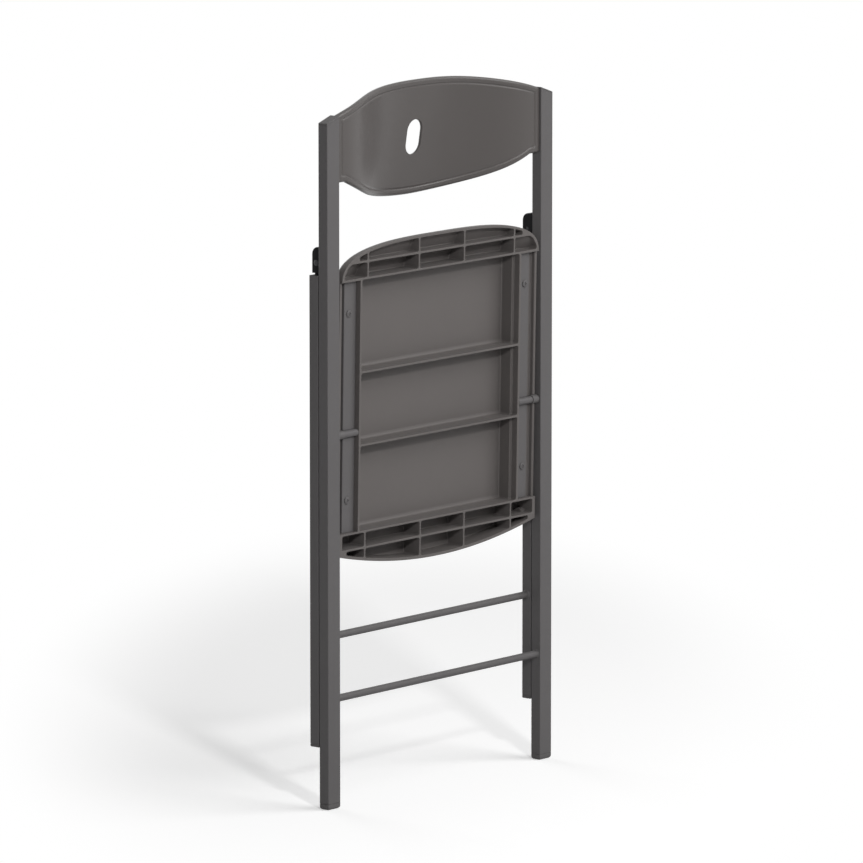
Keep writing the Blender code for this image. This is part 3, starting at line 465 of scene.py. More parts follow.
def refine(node, material, slot, edge):
    """A finer copy of a frame piece: merged, with broken edges and smooth round faces."""
    bm = bmesh.new()
    bm.from_mesh(frame["nodes"][node].data)
    bmesh.ops.remove_doubles(bm, verts=bm.verts, dist=1e-6)
    bmesh.ops.dissolve_limit(bm, angle_limit=math.radians(0.5), verts=bm.verts, edges=bm.edges)
    mesh = bpy.data.meshes.new(f"{node}_finished")
    bm.to_mesh(mesh)
    bm.free()
    obj = link(f"{node}_finished", mesh)
    bevel = obj.modifiers.new("edges", 'BEVEL')
    bevel.width = edge
    bevel.segments = 2
    bevel.limit_method = 'ANGLE'
    bevel.angle_limit = math.radians(40)
    flatten(obj)
    smooth(obj)
    dress(obj, material, body_of(node), slot, node)


def refine_pairs(context, slot, *parts):
    """Finer copies of the left and the right piece of each kind, in one finish."""
    for side in SIDES:
        for part in parts:
            refine(f"{side}_{part}", finishes()[slot], slot, context.scene.chair_fasteners.edge)


def offset(outline, distance):
    """An anticlockwise outline drawn outwards by a distance, and by up to twice that at sharp corners."""
    moved = []
    for i, (x, z) in enumerate(outline):
        before, after = outline[i - 1], outline[(i + 1) % len(outline)]
        first = Vector((x - before[0], z - before[1])).normalized()
        second = Vector((after[0] - x, after[1] - z)).normalized()
        along = (first + second).normalized()
        reach = distance / max(0.5, along.dot(first))
        moved.append((x + along.y * reach, z - along.x * reach))
    return moved


def round_corners(outline, radius, steps=5):
    """An outline with arcs in place of its corners; slight bends stay as they are."""
    points = []
    for i, corner in enumerate(outline):
        corner = Vector(corner)
        before = Vector(outline[i - 1]) - corner
        after = Vector(outline[(i + 1) % len(outline)]) - corner
        turn = math.pi - before.angle(after)
        if turn < math.radians(25):
            points.append(tuple(corner))
            continue
        reach = min(radius * math.tan(turn / 2), 0.45 * before.length, 0.45 * after.length)
        start, end = corner + before.normalized() * reach, corner + after.normalized() * reach
        for step in range(steps + 1):
            share = step / steps
            points.append(tuple(start * (1 - share) ** 2 + corner * 2 * share * (1 - share)
                                + end * share ** 2))
    return points


# Finishes

def finish(name, colour, rough, grain, grain_depth, tone=0.05, metallic=0.0, specular=0.2):
    """A Principled material with a fine grain, a slow change of tone and an uneven gloss."""
    material = bpy.data.materials.new(name)
    material.use_nodes = True
    tree = material.node_tree
    shader = tree.nodes["Principled BSDF"]
    shader.inputs["Metallic"].default_value = metallic
    shader.inputs["Specular IOR Level"].default_value = specular
    place = tree.nodes.new("ShaderNodeTexCoord").outputs["Object"]
    slow = add(tree, "ShaderNodeTexNoise", {"Vector": place, "Scale": 9.0, "Detail": 3.0})
    tones = add(tree, "ShaderNodeMix", {"Factor": slow.outputs["Fac"]}, data_type='RGBA')
    for socket in tones.inputs:
        if socket.type == 'RGBA' and socket.name in "AB":
            share = 1 - tone if socket.name == "A" else 1 + tone
            socket.default_value = (*[c * share for c in colour], 1)
    colours = [socket for socket in tones.outputs if socket.type == 'RGBA'][0]
    tree.links.new(colours, shader.inputs["Base Color"])
    patches = add(tree, "ShaderNodeTexNoise", {"Vector": place, "Scale": 130.0, "Detail": 4.0})
    gloss = add(tree, "ShaderNodeMapRange",
                {"Value": patches.outputs["Fac"], "From Min": 0.3, "From Max": 0.7,
                 "To Min": rough * 0.92, "To Max": rough * 1.08})
    tree.links.new(gloss.outputs["Result"], shader.inputs["Roughness"])
    fine = add(tree, "ShaderNodeTexNoise", {"Vector": place, "Scale": grain, "Detail": 2.0})
    bump = add(tree, "ShaderNodeBump", {"Height": fine.outputs["Fac"], "Strength": 0.35,
                                        "Distance": grain_depth})
    tree.links.new(bump.outputs["Normal"], shader.inputs["Normal"])
    return material


def finishes():
    """The chair's materials, made once."""
    colours = bpy.context.scene.chair_finishes
    looks = {
        "powder_coat": dict(colour=colours.powder_coat, rough=0.5, grain=900.0, grain_depth=0.00003),
        # The backrest's darker base colour is partly painted shade: it is the seat's plastic, darkened.
        "backrest_shaded_grey": dict(colour=colours.backrest, rough=0.33, grain=2400.0, grain_depth=0.00001,
                              specular=0.32),
        "moulded_grey": dict(colour=colours.moulded, rough=0.45, grain=2400.0, grain_depth=0.00004),
        "grey_plastic": dict(colour=colours.plugs, rough=0.5, grain=2000.0, grain_depth=0.00004),
        "black_plastic": dict(colour=colours.black, rough=0.6, grain=2000.0, grain_depth=0.00004,
                              specular=0.1),
        "bare_steel": dict(colour=colours.zinc, rough=0.42, grain=1500.0, grain_depth=0.00002, tone=0.1,
                           metallic=1.0, specular=0.5),
        "black_steel": dict(colour=colours.black_steel, rough=0.4, grain=1500.0, grain_depth=0.00002,
                            tone=0.1, metallic=0.6, specular=0.5),
    }
    made = {}
    for slot, look in looks.items():
        name = f"{slot}_finish"
        made[slot] = bpy.data.materials.get(name) or finish(name, **look)
    return made


# Backrest

def backrest_section(sizes):
    """Half of the section, from the panel's back round the edge to the panel's front.

    Each point holds its distance from the edge, its depth behind the rim's front, how much deeper it lies
    where the panel is hollowed, and how far it follows the groove along the backrest's ends.
    """
    depth, band, edge = sizes.rim_depth, sizes.rim_band, sizes.rim_round
    thin = sizes.panel_step + sizes.panel - depth
    turns = [math.pi / 2 * i / RIM_ROUND_STEPS for i in range(RIM_ROUND_STEPS + 1)]
    points = [(band + out, depth, thin * share, 0.0) for out, share in RIM_BACK]
    points += [(edge * (1 - math.sin(a)), depth - edge * (1 - math.cos(a)), 0.0, 0.0) for a in turns]
    points += [(edge * (1 - math.cos(a)), edge * (1 - math.sin(a)), 0.0, 0.0) for a in turns]
    points += [(band + out, 0.0, sizes.groove * groove + sizes.panel_step * step, lined)
               for out, groove, step, lined in RIM_FRONT]
    return points


def backrest_base(sizes):
    """The section as a ring of edges, its upper half set apart, with its distances kept as attributes."""
    lower = [(*point, 0.0) for point in backrest_section(sizes)]
    upper = [(*point[:4], 1.0) for point in reversed(lower)]
    ring, apart = lower + upper, 0.1
    mesh = bpy.data.meshes.new("backrest_section")
    mesh.from_pydata([(p[0] * (1 - 2 * p[4]) + p[4] * apart, p[1], 0.0) for p in ring],
                     [(i, (i + 1) % len(ring)) for i in range(len(ring))], [])
    for k, name in enumerate(("inset", "depth", "hollow", "lined", "upper")):
        attribute = mesh.attributes.new(name, 'FLOAT', 'POINT')
        attribute.data.foreach_set("value", [p[k] for p in ring])
    return mesh


def backrest_tree():
    """Sweeps the section across the chair and sets each point by the rules of the edges and the curve."""
    tree, inputs, output = new_tree("backrest_sweep", (
        "End", "Front", "Bottom", "Top", "Top Fall", "Top Power", "Bottom Rise", "Bottom Power", "End Run",
        "Upper Hollow", "Upper Hollow Power", "Lower Hollow", "Lower Hollow Power", "Ease", "Rim Band",
        "Groove", "Stations"))
    line = add(tree, "GeometryNodeCurvePrimitiveLine", {"Start": (-1.0, 0.0, 0.0), "End": (1.0, 0.0, 0.0)})
    path = add(tree, "GeometryNodeResampleCurve",
               {"Curve": line.outputs["Curve"], "Count": inputs["Stations"]})
    section = add(tree, "GeometryNodeMeshToCurve", {"Mesh": inputs["Geometry"]})
    swept = add(tree, "GeometryNodeCurveToMesh", {
        "Curve": path.outputs["Curve"], "Profile Curve": section.outputs["Curve"], "Fill Caps": True})
    # Along the rim at the backrest's ends: where the panel starts to thin, over how far, and half the groove
    fade_start, fade, groove_reach = 0.0008, 0.0022, 0.0018

    def size(name):
        return Rule(tree, inputs[name])

    def kept(name):
        node = add(tree, "GeometryNodeInputNamedAttribute", {"Name": name}, data_type='FLOAT')
        return Rule(tree, node.outputs["Attribute"])

    share = (position(tree)[0] * (math.pi / 2)).step('SINE')    # closer stations near the ends
    away = abs(share)
    across = share * size("End")
    rise = (abs(across) / (size("End") - size("End Run"))).step('MINIMUM', 1.0) ** size("Bottom Power")
    lower = size("Bottom") + size("Bottom Rise") * rise
    upper = size("Top") - size("Top Fall") * away ** size("Top Power")

    def front(edge):
        bend = (1.0 - away ** size(f"{edge} Hollow Power")).step('MAXIMUM', 0.0) ** size("Ease")
        return size("Front") + size(f"{edge} Hollow") * bend

    inside = (size("End") - abs(across) - size("Rim Band") + fade_start) / fade
    mask = inside.step('MAXIMUM', 0.0).step('MINIMUM', 1.0)
    mask = mask * mask * (3.0 - mask * 2.0)
    z = lower + (upper - lower) * kept("upper") + kept("inset") * (1.0 - kept("upper") * 2.0)
    y = front("Lower") + (front("Upper") - front("Lower")) * (z - lower) / (upper - lower)
    lined = (1.0 - abs(size("End") - abs(across) - size("Rim Band")) / groove_reach).step('MAXIMUM', 0.0)
    y = y + kept("depth") + kept("hollow") * mask + kept("lined") * lined * size("Groove")
    placed = add(tree, "GeometryNodeSetPosition",
                 {"Geometry": swept.outputs["Mesh"], "Position": vector(tree, across, y, z)})
    end_tree(tree, inputs, output, placed.outputs["Geometry"])
    return tree


class CHAIR_OT_backrest(bpy.types.Operator):
    """Make the moulded backrest with its rolled rim and hand hole"""
    bl_idname = "chair.backrest"
    bl_label = "Backrest"

    def execute(self, context):
        sizes = context.scene.chair_backrest
        # The backrest's finish; its darker grey is partly painted shade.
        material = finishes()["backrest_shaded_grey"]
        obj = grow("backrest_moulding", backrest_base(sizes), backrest_tree(), {
            "End": BACKREST_HIGH.x, "Front": BACKREST_LOW.y, "Bottom": BACKREST_LOW.z, "Top": BACKREST_HIGH.z,
            "Top Fall": sizes.top_fall, "Top Power": sizes.top_power, "Bottom Rise": sizes.bottom_rise,
            "Bottom Power": sizes.bottom_power, "End Run": sizes.end_run, "Upper Hollow": sizes.upper_hollow,
            "Upper Hollow Power": sizes.upper_hollow_power, "Lower Hollow": sizes.lower_hollow,
            "Lower Hollow Power": sizes.lower_hollow_power, "Ease": sizes.ease, "Rim Band": sizes.rim_band,
            "Groove": sizes.groove, "Stations": float(sizes.stations), "Material": material})
        half = sizes.hole_width / 2
        reach = sizes.hole_length / 2 - half
        middle = (BACKREST_LOW.z + BACKREST_HIGH.z) / 2
        tilt = (sizes.upper_hollow - sizes.lower_hollow) / (BACKREST_HIGH.z - BACKREST_LOW.z)
        face = BACKREST_LOW.y + (sizes.upper_hollow + sizes.lower_hollow) / 2 + sizes.panel_step
        outline, count = [], 64
        for i in range(count):
            turn = 2 * math.pi * (i + 0.5) / count
            outline.append((half * math.cos(turn),
                            middle + half * math.sin(turn) + math.copysign(reach, math.sin(turn))))
        # Depth behind the panel's front, and how far the hole opens out there
        flare = ((-0.004, 0.0043), (-0.0005, 0.0011), (0.0, 0.0007), (0.0006, 0.0002), (0.0014, 0.0),
                 (sizes.panel - 0.001, 0.0), (sizes.panel - 0.0004, 0.0003), (sizes.panel + 0.0002, 0.0009),
                 (sizes.panel + 0.004, 0.0046))
        hole = bmesh.new()
        loft(hole, [[(x, face + depth + tilt * (z - middle), z) for x, z in offset(outline, out)]
                    for depth, out in flare])
        cut(obj, hole)
        smooth(obj)
        dress(obj, material, "frame", "moulded_grey", "backrest")
        return {'FINISHED'}


# Seat shell, with places from the pivot: x across, y behind, z along the seat

def front_edge(seat, x, inset):
    """Height of the seat's front edge at a place across it."""
    share = min(1.0, abs(x) / (seat.half - inset))
    rise = (1 - share ** FRONT_SIDE_POWER) ** (1 / FRONT_RISE_POWER)
    return seat.shoulder + (seat.front_rise - inset) * rise


def rear_edge(seat, x, inset):
    """Height of the seat's rear edge at a place across it."""
    return -seat.rear + inset + seat.rear_rise * (x / seat.half) ** 2


def sitting_face(seat, x, ahead):
    """Depth of the sitting face at a place across the seat and a share of the way up to its front edge."""
    return seat.thickness - seat.dish * (1 - (x / seat.half) ** 2) - seat.front_fall * ahead ** 2


def deepest(seat, x, z):
    """How deep a hollow may be at a place, so that a wall is left under the sitting face."""
    ahead = 1 - (front_edge(seat, x, seat.edge) - z) / seat.fall_run
    return sitting_face(seat, x, min(1.0, max(0.0, ahead))) - FLOOR_WALL


def seat_outline(seat, inset):
    """The seat's outline drawn in: front edge, left side, rear edge at the same places, right side.

    Each point holds its place and its share of the way from the flat sitting face up to the front edge.
    """
    half = seat.half - inset
    quarter = []
    for i in range(FRONT_STEPS + 1):
        turn = math.pi * i / (2 * FRONT_STEPS + 1)
        rise = math.sin(turn) ** (2 / FRONT_RISE_POWER)
        quarter.append((half * math.cos(turn) ** (2 / FRONT_SIDE_POWER),
                        seat.shoulder + (seat.front_rise - inset) * rise, 1.0))
    front = quarter + [(-x, z, ahead) for x, z, ahead in reversed(quarter)]
    shares = [1 - row / FALL_ROWS for row in range(1, FALL_ROWS + 1)]
    left = [(-half, seat.shoulder - seat.fall_run * (1 - share), share) for share in shares]
    rear = [(x, rear_edge(seat, x, inset), 0.0) for x, _, _ in reversed(front)]
    return front + left + rear + [(half, z, share) for _, z, share in reversed(left)]


def seat_block(seat):
    """The seat without its hollows: a flat rim, round edges and a dished sitting face."""
    rings = []
    crest_steps, edge_steps = 4, 9
    for i in range(1, crest_steps + 1):
        turn = math.pi / 2 * i / crest_steps
        rings.append([(x, seat.rim + seat.crest * (1 - math.sin(turn)), z)
                      for x, z, _ in seat_outline(seat, seat.crest * (1 - math.cos(turn)))])
    rings.reverse()
    for i in range(edge_steps + 1):
        turn = math.pi / 2 * i / edge_steps
        drop = seat.edge * (1 - math.sin(turn))
        outline = seat_outline(seat, seat.edge * (1 - math.cos(turn)))
        rings.append([(x, seat.rim + sitting_face(seat, x, ahead) - drop, z) for x, z, ahead in outline])
    bm = bmesh.new()
    loops = [[bm.verts.new(point) for point in ring] for ring in rings]
    bm.faces.new(reversed(loops[0]))
    skin(bm, loops)
    rows = FALL_ROWS
    count = len(outline) // 2 - rows
    edge = loops[-1]
    columns = []
    for i in range(count):
        x, z, _ = outline[i]
        inner = []
        for row in range(1, rows + 1):
            share = 1 - row / rows
            inner.append((x, seat.rim + sitting_face(seat, x, share), z - seat.fall_run * (1 - share)))
        columns.append([edge[i], *[bm.verts.new(point) for point in inner], edge[2 * count + rows - 1 - i]])
    for vert in columns[0][1:-1] + columns[-1][1:-1]:
        bm.verts.remove(vert)
    columns[0][1:-1] = reversed(edge[-rows:])
    columns[-1][1:-1] = edge[count:count + rows]
    for near, far in zip(columns, columns[1:]):
        for row in range(rows + 1):
            bm.faces.new((near[row], far[row], far[row + 1], near[row + 1]))
    return bm


def hollow_mouth(seat):
    """Depths below the rim and outward reaches along the round crest of a hollow's mouth."""
    rings = [(-0.0002, seat.crest * 0.66 + 0.0006)]    # just ahead of the rim
    for turn in (20, 45, 68, 90):
        turn = math.radians(turn)
        rings.append((seat.crest * (1 - math.cos(turn)), seat.crest * (1 - math.sin(turn))))
    return rings


def hollow_foot(seat):
    """Rises above a hollow's floor and outward reaches along the fillet round it."""
    rings = []
    for turn in (0, 30, 60, 90):
        turn = math.radians(turn)
        rings.append((FLOOR_FILLET * (1 - math.sin(turn)), -seat.draft - FLOOR_FILLET * (1 - math.cos(turn))))
    return rings


def cell_floor(seat, outline):
    """The plane of a cell's floor, as deep as the panel and the sitting face behind it allow."""
    def room(x, z):
        return min(seat.thickness - seat.panel, deepest(seat, x, z))

    spans, heights = zip(*outline)
    left, right, low, high = min(spans), max(spans), min(heights), max(heights)
    across = (room(right, (low + high) / 2) - room(left, (low + high) / 2)) / (right - left)
    along = (room((left + right) / 2, high) - room((left + right) / 2, low)) / (high - low)
    level = min(room(x, z) - across * x - along * z for x, z in outline)
    return lambda x, z: level + across * x + along * z


def seat_cells(seat):
    """Outlines of the cells in the seat's front and rear ends, anticlockwise."""
    half, tries, spacing = seat.rib / 2, 400, 0.008

    def cell(low, high, start, end):
        spans = [start + (end - start) * i / tries for i in range(tries + 1)]
        spans = [x for x in spans if high(x) - low(x) > SMALLEST_CELL]
        start, end = spans[0], spans[-1]
        count = max(4, round((end - start) / spacing))
        spans = [start + (end - start) * i / count for i in range(count + 1)]
        return [(x, low(x)) for x in spans] + [(x, high(x)) for x in reversed(spans)]

    cells = []
    side = seat.half - seat.rim_wall
    columns = [-side - half, *FRONT_COLUMNS, side + half]
    for start, end in zip(columns, columns[1:]):
        cells.append(cell(lambda x: FRONT_RIB + half,
                          lambda x: min(FRONT_MIDDLE_RIB - half, front_edge(seat, x, seat.rim_wall)),
                          start + half, end - half))
        cells.append(cell(lambda x: FRONT_MIDDLE_RIB + half, lambda x: front_edge(seat, x, seat.rim_wall),
                          start + half, end - half))
    side = seat.half - REAR_END_WALL
    columns = [-side - half, *REAR_COLUMNS, side + half]
    for start, end in zip(columns, columns[1:]):
        cells.append(cell(lambda x: REAR_MIDDLE_RIB + half, lambda x: REAR_RIB - half,
                          start + half, end - half))
        cells.append(cell(lambda x: rear_edge(seat, x, seat.rim_wall), lambda x: REAR_MIDDLE_RIB - half,
                          start + half, end - half))
    return cells


def cell_cutters(bm, seat):
    """Cutters for the cells in the seat's ends."""
    for outline in seat_cells(seat):
        outline = round_corners(outline, seat.corner)
        depth_at = cell_floor(seat, outline)
        rings = [[(x, seat.rim + depth, z) for x, z in offset(outline, out)]
                 for depth, out in hollow_mouth(seat)]
        rings += [[(x, seat.rim + depth_at(x, z) - rise, z) for x, z in offset(outline, out)]
                  for rise, out in hollow_foot(seat)]
        loft(bm, rings)


def bay_cutters(bm, seat):
    """Cutters for the three bays, each with a step along its crest walls and a fillet over its lower rib."""
    floor, half = seat.thickness - seat.panel, seat.rib / 2
    upper, shelf, step = CREST_OUTER - CREST_WALL, CREST_STEP_DEPTH, CREST_STEP
    walls = [(depth, out, upper) for depth, out in hollow_mouth(seat)]
    # Down the crest wall, round onto its step, across that and down again
    walls += [(shelf - 0.0010, 0.0, upper), (shelf - 0.0004, 0.0, upper - 0.0006),
              (shelf - 0.0002, 0.0, upper - 0.0014), (shelf, 0.0, upper - step + 0.0006),
              (shelf + 0.0006, 0.0, upper - step)]
    walls = [(*wall, 0.0) for wall in walls]
    for turn in range(0, 91, 10):
        turn = math.radians(turn)
        depth = floor - seat.fillet * (1 - math.sin(turn))
        out = -seat.draft - FLOOR_FILLET * max(0.0, 1 - (floor - depth) / FLOOR_FILLET) ** 2
        walls.append((depth, out, upper - step, seat.fillet * (1 - math.cos(turn))))
    ribs = [REAR_RIB, *CROSS_RIBS, FRONT_RIB]
    for low, high in zip(ribs, ribs[1:]):
        rings = []
        for depth, out, reach, lift in walls:
            base = low + half + lift
            corners = [(-reach, base), (reach, base), (reach, high - half), (-reach, high - half)]
            outline = offset(round_corners(corners, seat.corner), out)
            rings.append([(x, seat.rim + depth, z) for x, z in outline])
        loft(bm, rings)


def rail_cutters(bm, seat):
    """Cutters for the beds of the two rails, with the ledges and outer crests beside them."""
    half, edge = seat.rib / 2, seat.crest
    crest, bed = seat.half - OUTER_CREST_WALL, RAIL_SINK + RAIL_DEPTH + FIT_GAP
    inner, outer, ledge, sink = CREST_OUTER, RAIL_OUTER + FIT_GAP, LEDGE_SINK, OUTER_CREST_SINK
    channel = [(inner - edge, -PAST), (inner - edge, 0.0), (inner - edge * 0.3, edge * 0.3), (inner, edge),
               (inner, bed), (outer, bed), (outer, ledge + edge), (outer + edge, ledge),
               (crest - edge, ledge), (crest, ledge - edge), (crest, sink + edge), (crest + edge, sink),
               (seat.half + PAST, sink), (seat.half + PAST, -PAST)]
    for side in (-1, 1):
        outline = [(side * x, seat.rim + depth) for x, depth in channel]
        loft(bm, [[(x, y, z) for x, y in outline] for z in (REAR_RIB + half, FRONT_RIB - half)])


def turned(bm, profile, centre, sides=32):
    """A turned solid about a line along X; the profile holds pairs of x and radius."""
    turns = [2 * math.pi * i / sides for i in range(sides)]
    loft(bm, [[(x, centre[0] + radius * math.cos(a), centre[1] + radius * math.sin(a)) for a in turns]
              for x, radius in profile])


class CHAIR_OT_seat(bpy.types.Operator):
    """Make the moulded seat shell with its ribs, bays and rail beds"""
    bl_idname = "chair.seat"
    bl_label = "Seat Shell"

    def execute(self, context):
        seat = context.scene.chair_seat
        obj = link("seat_moulding", mesh_of("seat_moulding", seat_block(seat)))
        hollows = bmesh.new()
        for cutters in (cell_cutters, bay_cutters, rail_cutters):
            cutters(hollows, seat)
        cut(obj, hollows)
        place = Matrix.Translation(SEAT_PIVOT) @ Matrix.Rotation(seat.lean, 4, 'X')
        back = place.inverted()
        bosses, bores, notches = bmesh.new(), bmesh.new(), bmesh.new()
        for side, name in zip((-1, 1), SIDES):
            low, high = (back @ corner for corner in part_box(f"{name}_guide_stud"))
            centre = ((low.y + high.y) / 2, (low.z + high.z) / 2)
            bore = STUD_RADIUS + FIT_GAP
            wall = seat.half - REAR_END_WALL
            turned(bosses, [(side * (wall + out), bore + thick) for out, thick in BOSS_PROFILE], centre)
            turned(bores, [(side * (seat.half - STUD_BORE), bore), (side * (seat.half + PAST), bore)], centre)
            reach = BUSH_RADIUS + RUN_GAP
            turns = [math.radians(a) for a in range(-90, 91, 6)]
            arc = [(reach * math.cos(a), reach * math.sin(a)) for a in turns]
            arc += [(seat.rim - PAST, reach), (seat.rim - PAST, -reach)]
            loft(notches, [[(side * x, y, z) for y, z in arc] for x in (RAIL_OUTER - PAST, seat.half + PAST)])
        cut(obj, bosses, 'UNION')
        cut(obj, bores)
        cut(obj, notches)
        obj.data.transform(place)
        smooth(obj)
        dress(obj, finishes()["moulded_grey"], "seat", "moulded_grey", "seat_shell")
        return {'FINISHED'}


# Tubes, plugs and hinges

class CHAIR_OT_tubes(bpy.types.Operator):
    """Finish the uprights, the rear legs, the seat's side rails and its pivot pins"""
    bl_idname = "chair.tubes"
    bl_label = "Tubes"

    def execute(self, context):
        refine_pairs(context, "powder_coat", "upright", "rear_leg", "side_rail", "pivot_pin")
        return {'FINISHED'}


class CHAIR_OT_plugs(bpy.types.Operator):
    """Finish the caps, the feet and the pivot bushes"""
    bl_idname = "chair.plugs"
    bl_label = "Caps and Feet"

    def execute(self, context):
        refine_pairs(context, "grey_plastic", "top_cap", "foot", "rear_foot", "pivot_bush")
        return {'FINISHED'}


class CHAIR_OT_hinges(bpy.types.Operator):
    """Finish the black hinge brackets and knuckles"""
    bl_idname = "chair.hinges"
    bl_label = "Hinges"

    def execute(self, context):
        refine_pairs(context, "black_plastic", "hinge_bracket", "hinge_knuckle")
        return {'FINISHED'}


class CHAIR_OT_pins(bpy.types.Operator):
    """Finish the guide studs and the hidden dowels"""
    bl_idname = "chair.pins"
    bl_label = "Studs and Dowels"

    def execute(self, context):
        for side in SIDES:
            for part in ("guide_stud", "lower_dowel", "upper_dowel"):
                node = frame["nodes"][f"{side}_{part}"]
                node.data.materials.clear()
                node.data.materials.append(finishes()["bare_steel"])
        return {'FINISHED'}


# Rods, screws and rivets

def rod_tree():
    """Sweeps a circle along each edge of the base, swollen where the rod is welded to the tubes."""
    tree, inputs, output = new_tree("rod_sweep", ("Diameter", "Weld", "Face"))
    path = add(tree, "GeometryNodeMeshToCurve", {"Mesh": inputs["Geometry"]})
    fine = add(tree, "GeometryNodeResampleCurve", {"Curve": path.outputs["Curve"], "Count": 601})
    diameter, weld, face = (Rule(tree, inputs[name]) for name in ("Diameter", "Weld", "Face"))
    near = abs(position(tree)[0]) - face + weld
    near = (near / weld).step('MAXIMUM', 0.0).step('MINIMUM', 1.0)
    swell = diameter / 2.0 + weld * near * near
    circle = add(tree, "GeometryNodeCurvePrimitiveCircle", {"Resolution": 40, "Radius": 1.0})
    swept = add(tree, "GeometryNodeCurveToMesh", {
        "Curve": fine.outputs["Curve"], "Profile Curve": circle.outputs["Curve"], "Scale": swell,
        "Fill Caps": True})
    end_tree(tree, inputs, output, swept.outputs["Mesh"])
    return tree


class CHAIR_OT_rods(bpy.types.Operator):
    """Make the two cross rods with their welds"""
    bl_idname = "chair.rods"
    bl_label = "Rods"

    def execute(self, context):
        sizes = context.scene.chair_fasteners
        material = finishes()["powder_coat"]
        tree = rod_tree()
        for node in ("front_rod", "rear_rod"):
            low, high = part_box(node)
            middle = (low + high) / 2
            base = bpy.data.meshes.new(f"{node}_path")
            base.from_pydata([(low.x, middle.y, middle.z), (high.x, middle.y, middle.z)], [(0, 1)], [])
            obj = grow(f"{node}_welded", base, tree, {"Diameter": sizes.rod, "Weld": sizes.weld,
                                                      "Face": INNER_FACE, "Material": material})
            smooth(obj)
            dress(obj, material, body_of(node), "powder_coat", node)
        return {'FINISHED'}


def screw_tree():
    """Puts a cross-recessed screw at each point of the base; the screw's head is at its origin, facing up."""
    tree, inputs, output = new_tree("screws", ("Head", "Head Height", "Shank", "Length", "Turn"))
    head_size, height = Rule(tree, inputs["Head"]), Rule(tree, inputs["Head Height"])
    head = add(tree, "GeometryNodeMeshCylinder", {
        "Vertices": 32, "Side Segments": 4, "Fill Segments": 5, "Radius": head_size / 2.0, "Depth": height},
        fill_type='TRIANGLE_FAN')
    x, y, z = position(tree)
    out = (x * x + y * y) / (head_size * head_size / 4.0)
    up = (z / height + 0.5).step('MAXIMUM', 0.0)
    domed = add(tree, "GeometryNodeSetPosition", {
        "Geometry": head.outputs["Mesh"],
        "Position": vector(tree, x, y, z + height / 2.0 - up * height * out * out * 0.5)})
    crossed = add(tree, "GeometryNodeMeshBoolean", {"Mesh 1": domed.outputs["Geometry"]},
                  operation='DIFFERENCE', solver='EXACT')
    arm_length, arm_width = 0.5, 0.13    # of the cross recess, as shares of the head
    for wide, deep in ((arm_length, arm_width), (arm_width, arm_length)):
        size = vector(tree, head_size * wide, head_size * deep, height * 1.2)
        cube = add(tree, "GeometryNodeMeshCube", {"Size": size})
        arm = add(tree, "GeometryNodeTransform",
                  {"Geometry": cube.outputs["Mesh"], "Translation": vector(tree, z=height * 1.05)})
        tree.links.new(arm.outputs["Geometry"], crossed.inputs["Mesh 2"])
    length = Rule(tree, inputs["Length"])
    shank = add(tree, "GeometryNodeMeshCylinder",
                {"Vertices": 20, "Radius": Rule(tree, inputs["Shank"]) / 2.0, "Depth": length})
    gap = 0.00001    # keeps the shank's end off the head
    lowered = add(tree, "GeometryNodeTransform",
                  {"Geometry": shank.outputs["Mesh"], "Translation": vector(tree, z=length * -0.5 - gap)})
    whole = tree.nodes.new("GeometryNodeJoinGeometry")
    tree.links.new(crossed.outputs["Mesh"], whole.inputs["Geometry"])
    tree.links.new(lowered.outputs["Geometry"], whole.inputs["Geometry"])
    spread = add(tree, "GeometryNodeInstanceOnPoints",
                 {"Points": inputs["Geometry"], "Instance": whole.outputs["Geometry"],
                  "Rotation": vector(tree, inputs["Turn"])})
    end_tree(tree, inputs, output, spread.outputs["Instances"])
    return tree


def rivet_tree():
    """Puts a rivet along X at each point of the base, with a domed head at each end."""
    tree, inputs, output = new_tree("rivets", ("Head", "Head Height", "Shank", "Length"))
    head_size, height, length = (Rule(tree, inputs[name]) for name in ("Head", "Head Height", "Length"))
    body = add(tree, "GeometryNodeMeshCylinder", {
        "Vertices": 32, "Side Segments": 24, "Fill Segments": 6, "Radius": head_size / 2.0, "Depth": length},
        fill_type='TRIANGLE_FAN')
    x, y, z = position(tree)
    reach = abs(z)
    under = length / 2.0 - height
    in_head = reach.step('GREATER_THAN', under)
    slim = Rule(tree, inputs["Shank"]) / head_size
    keep = slim + in_head * (1.0 - slim)
    out = (x * x + y * y) / (head_size * head_size / 4.0)
    fall = reach.step('GREATER_THAN', length * 0.499) * out * out * height * 0.75
    shaped = add(tree, "GeometryNodeSetPosition", {
        "Geometry": body.outputs["Mesh"],
        "Position": vector(tree, x * keep, y * keep, z - z.step('SIGN') * fall)})
    spread = add(tree, "GeometryNodeInstanceOnPoints",
                 {"Points": inputs["Geometry"], "Instance": shaped.outputs["Geometry"],
                  "Rotation": (0.0, math.pi / 2, 0.0)})
    end_tree(tree, inputs, output, spread.outputs["Instances"])
    return tree


def fasten(name, places, points, tree, values, body, slot, nodes):
    """Grow fasteners at points, in the values' material, in the place of their nodes."""
    mesh = bpy.data.meshes.new(places)
    mesh.from_pydata([tuple(point) for point in points], [], [])
    obj = grow(name, mesh, tree, values)
    smooth(obj)
    dress(obj, values["Material"], body, slot, *nodes)


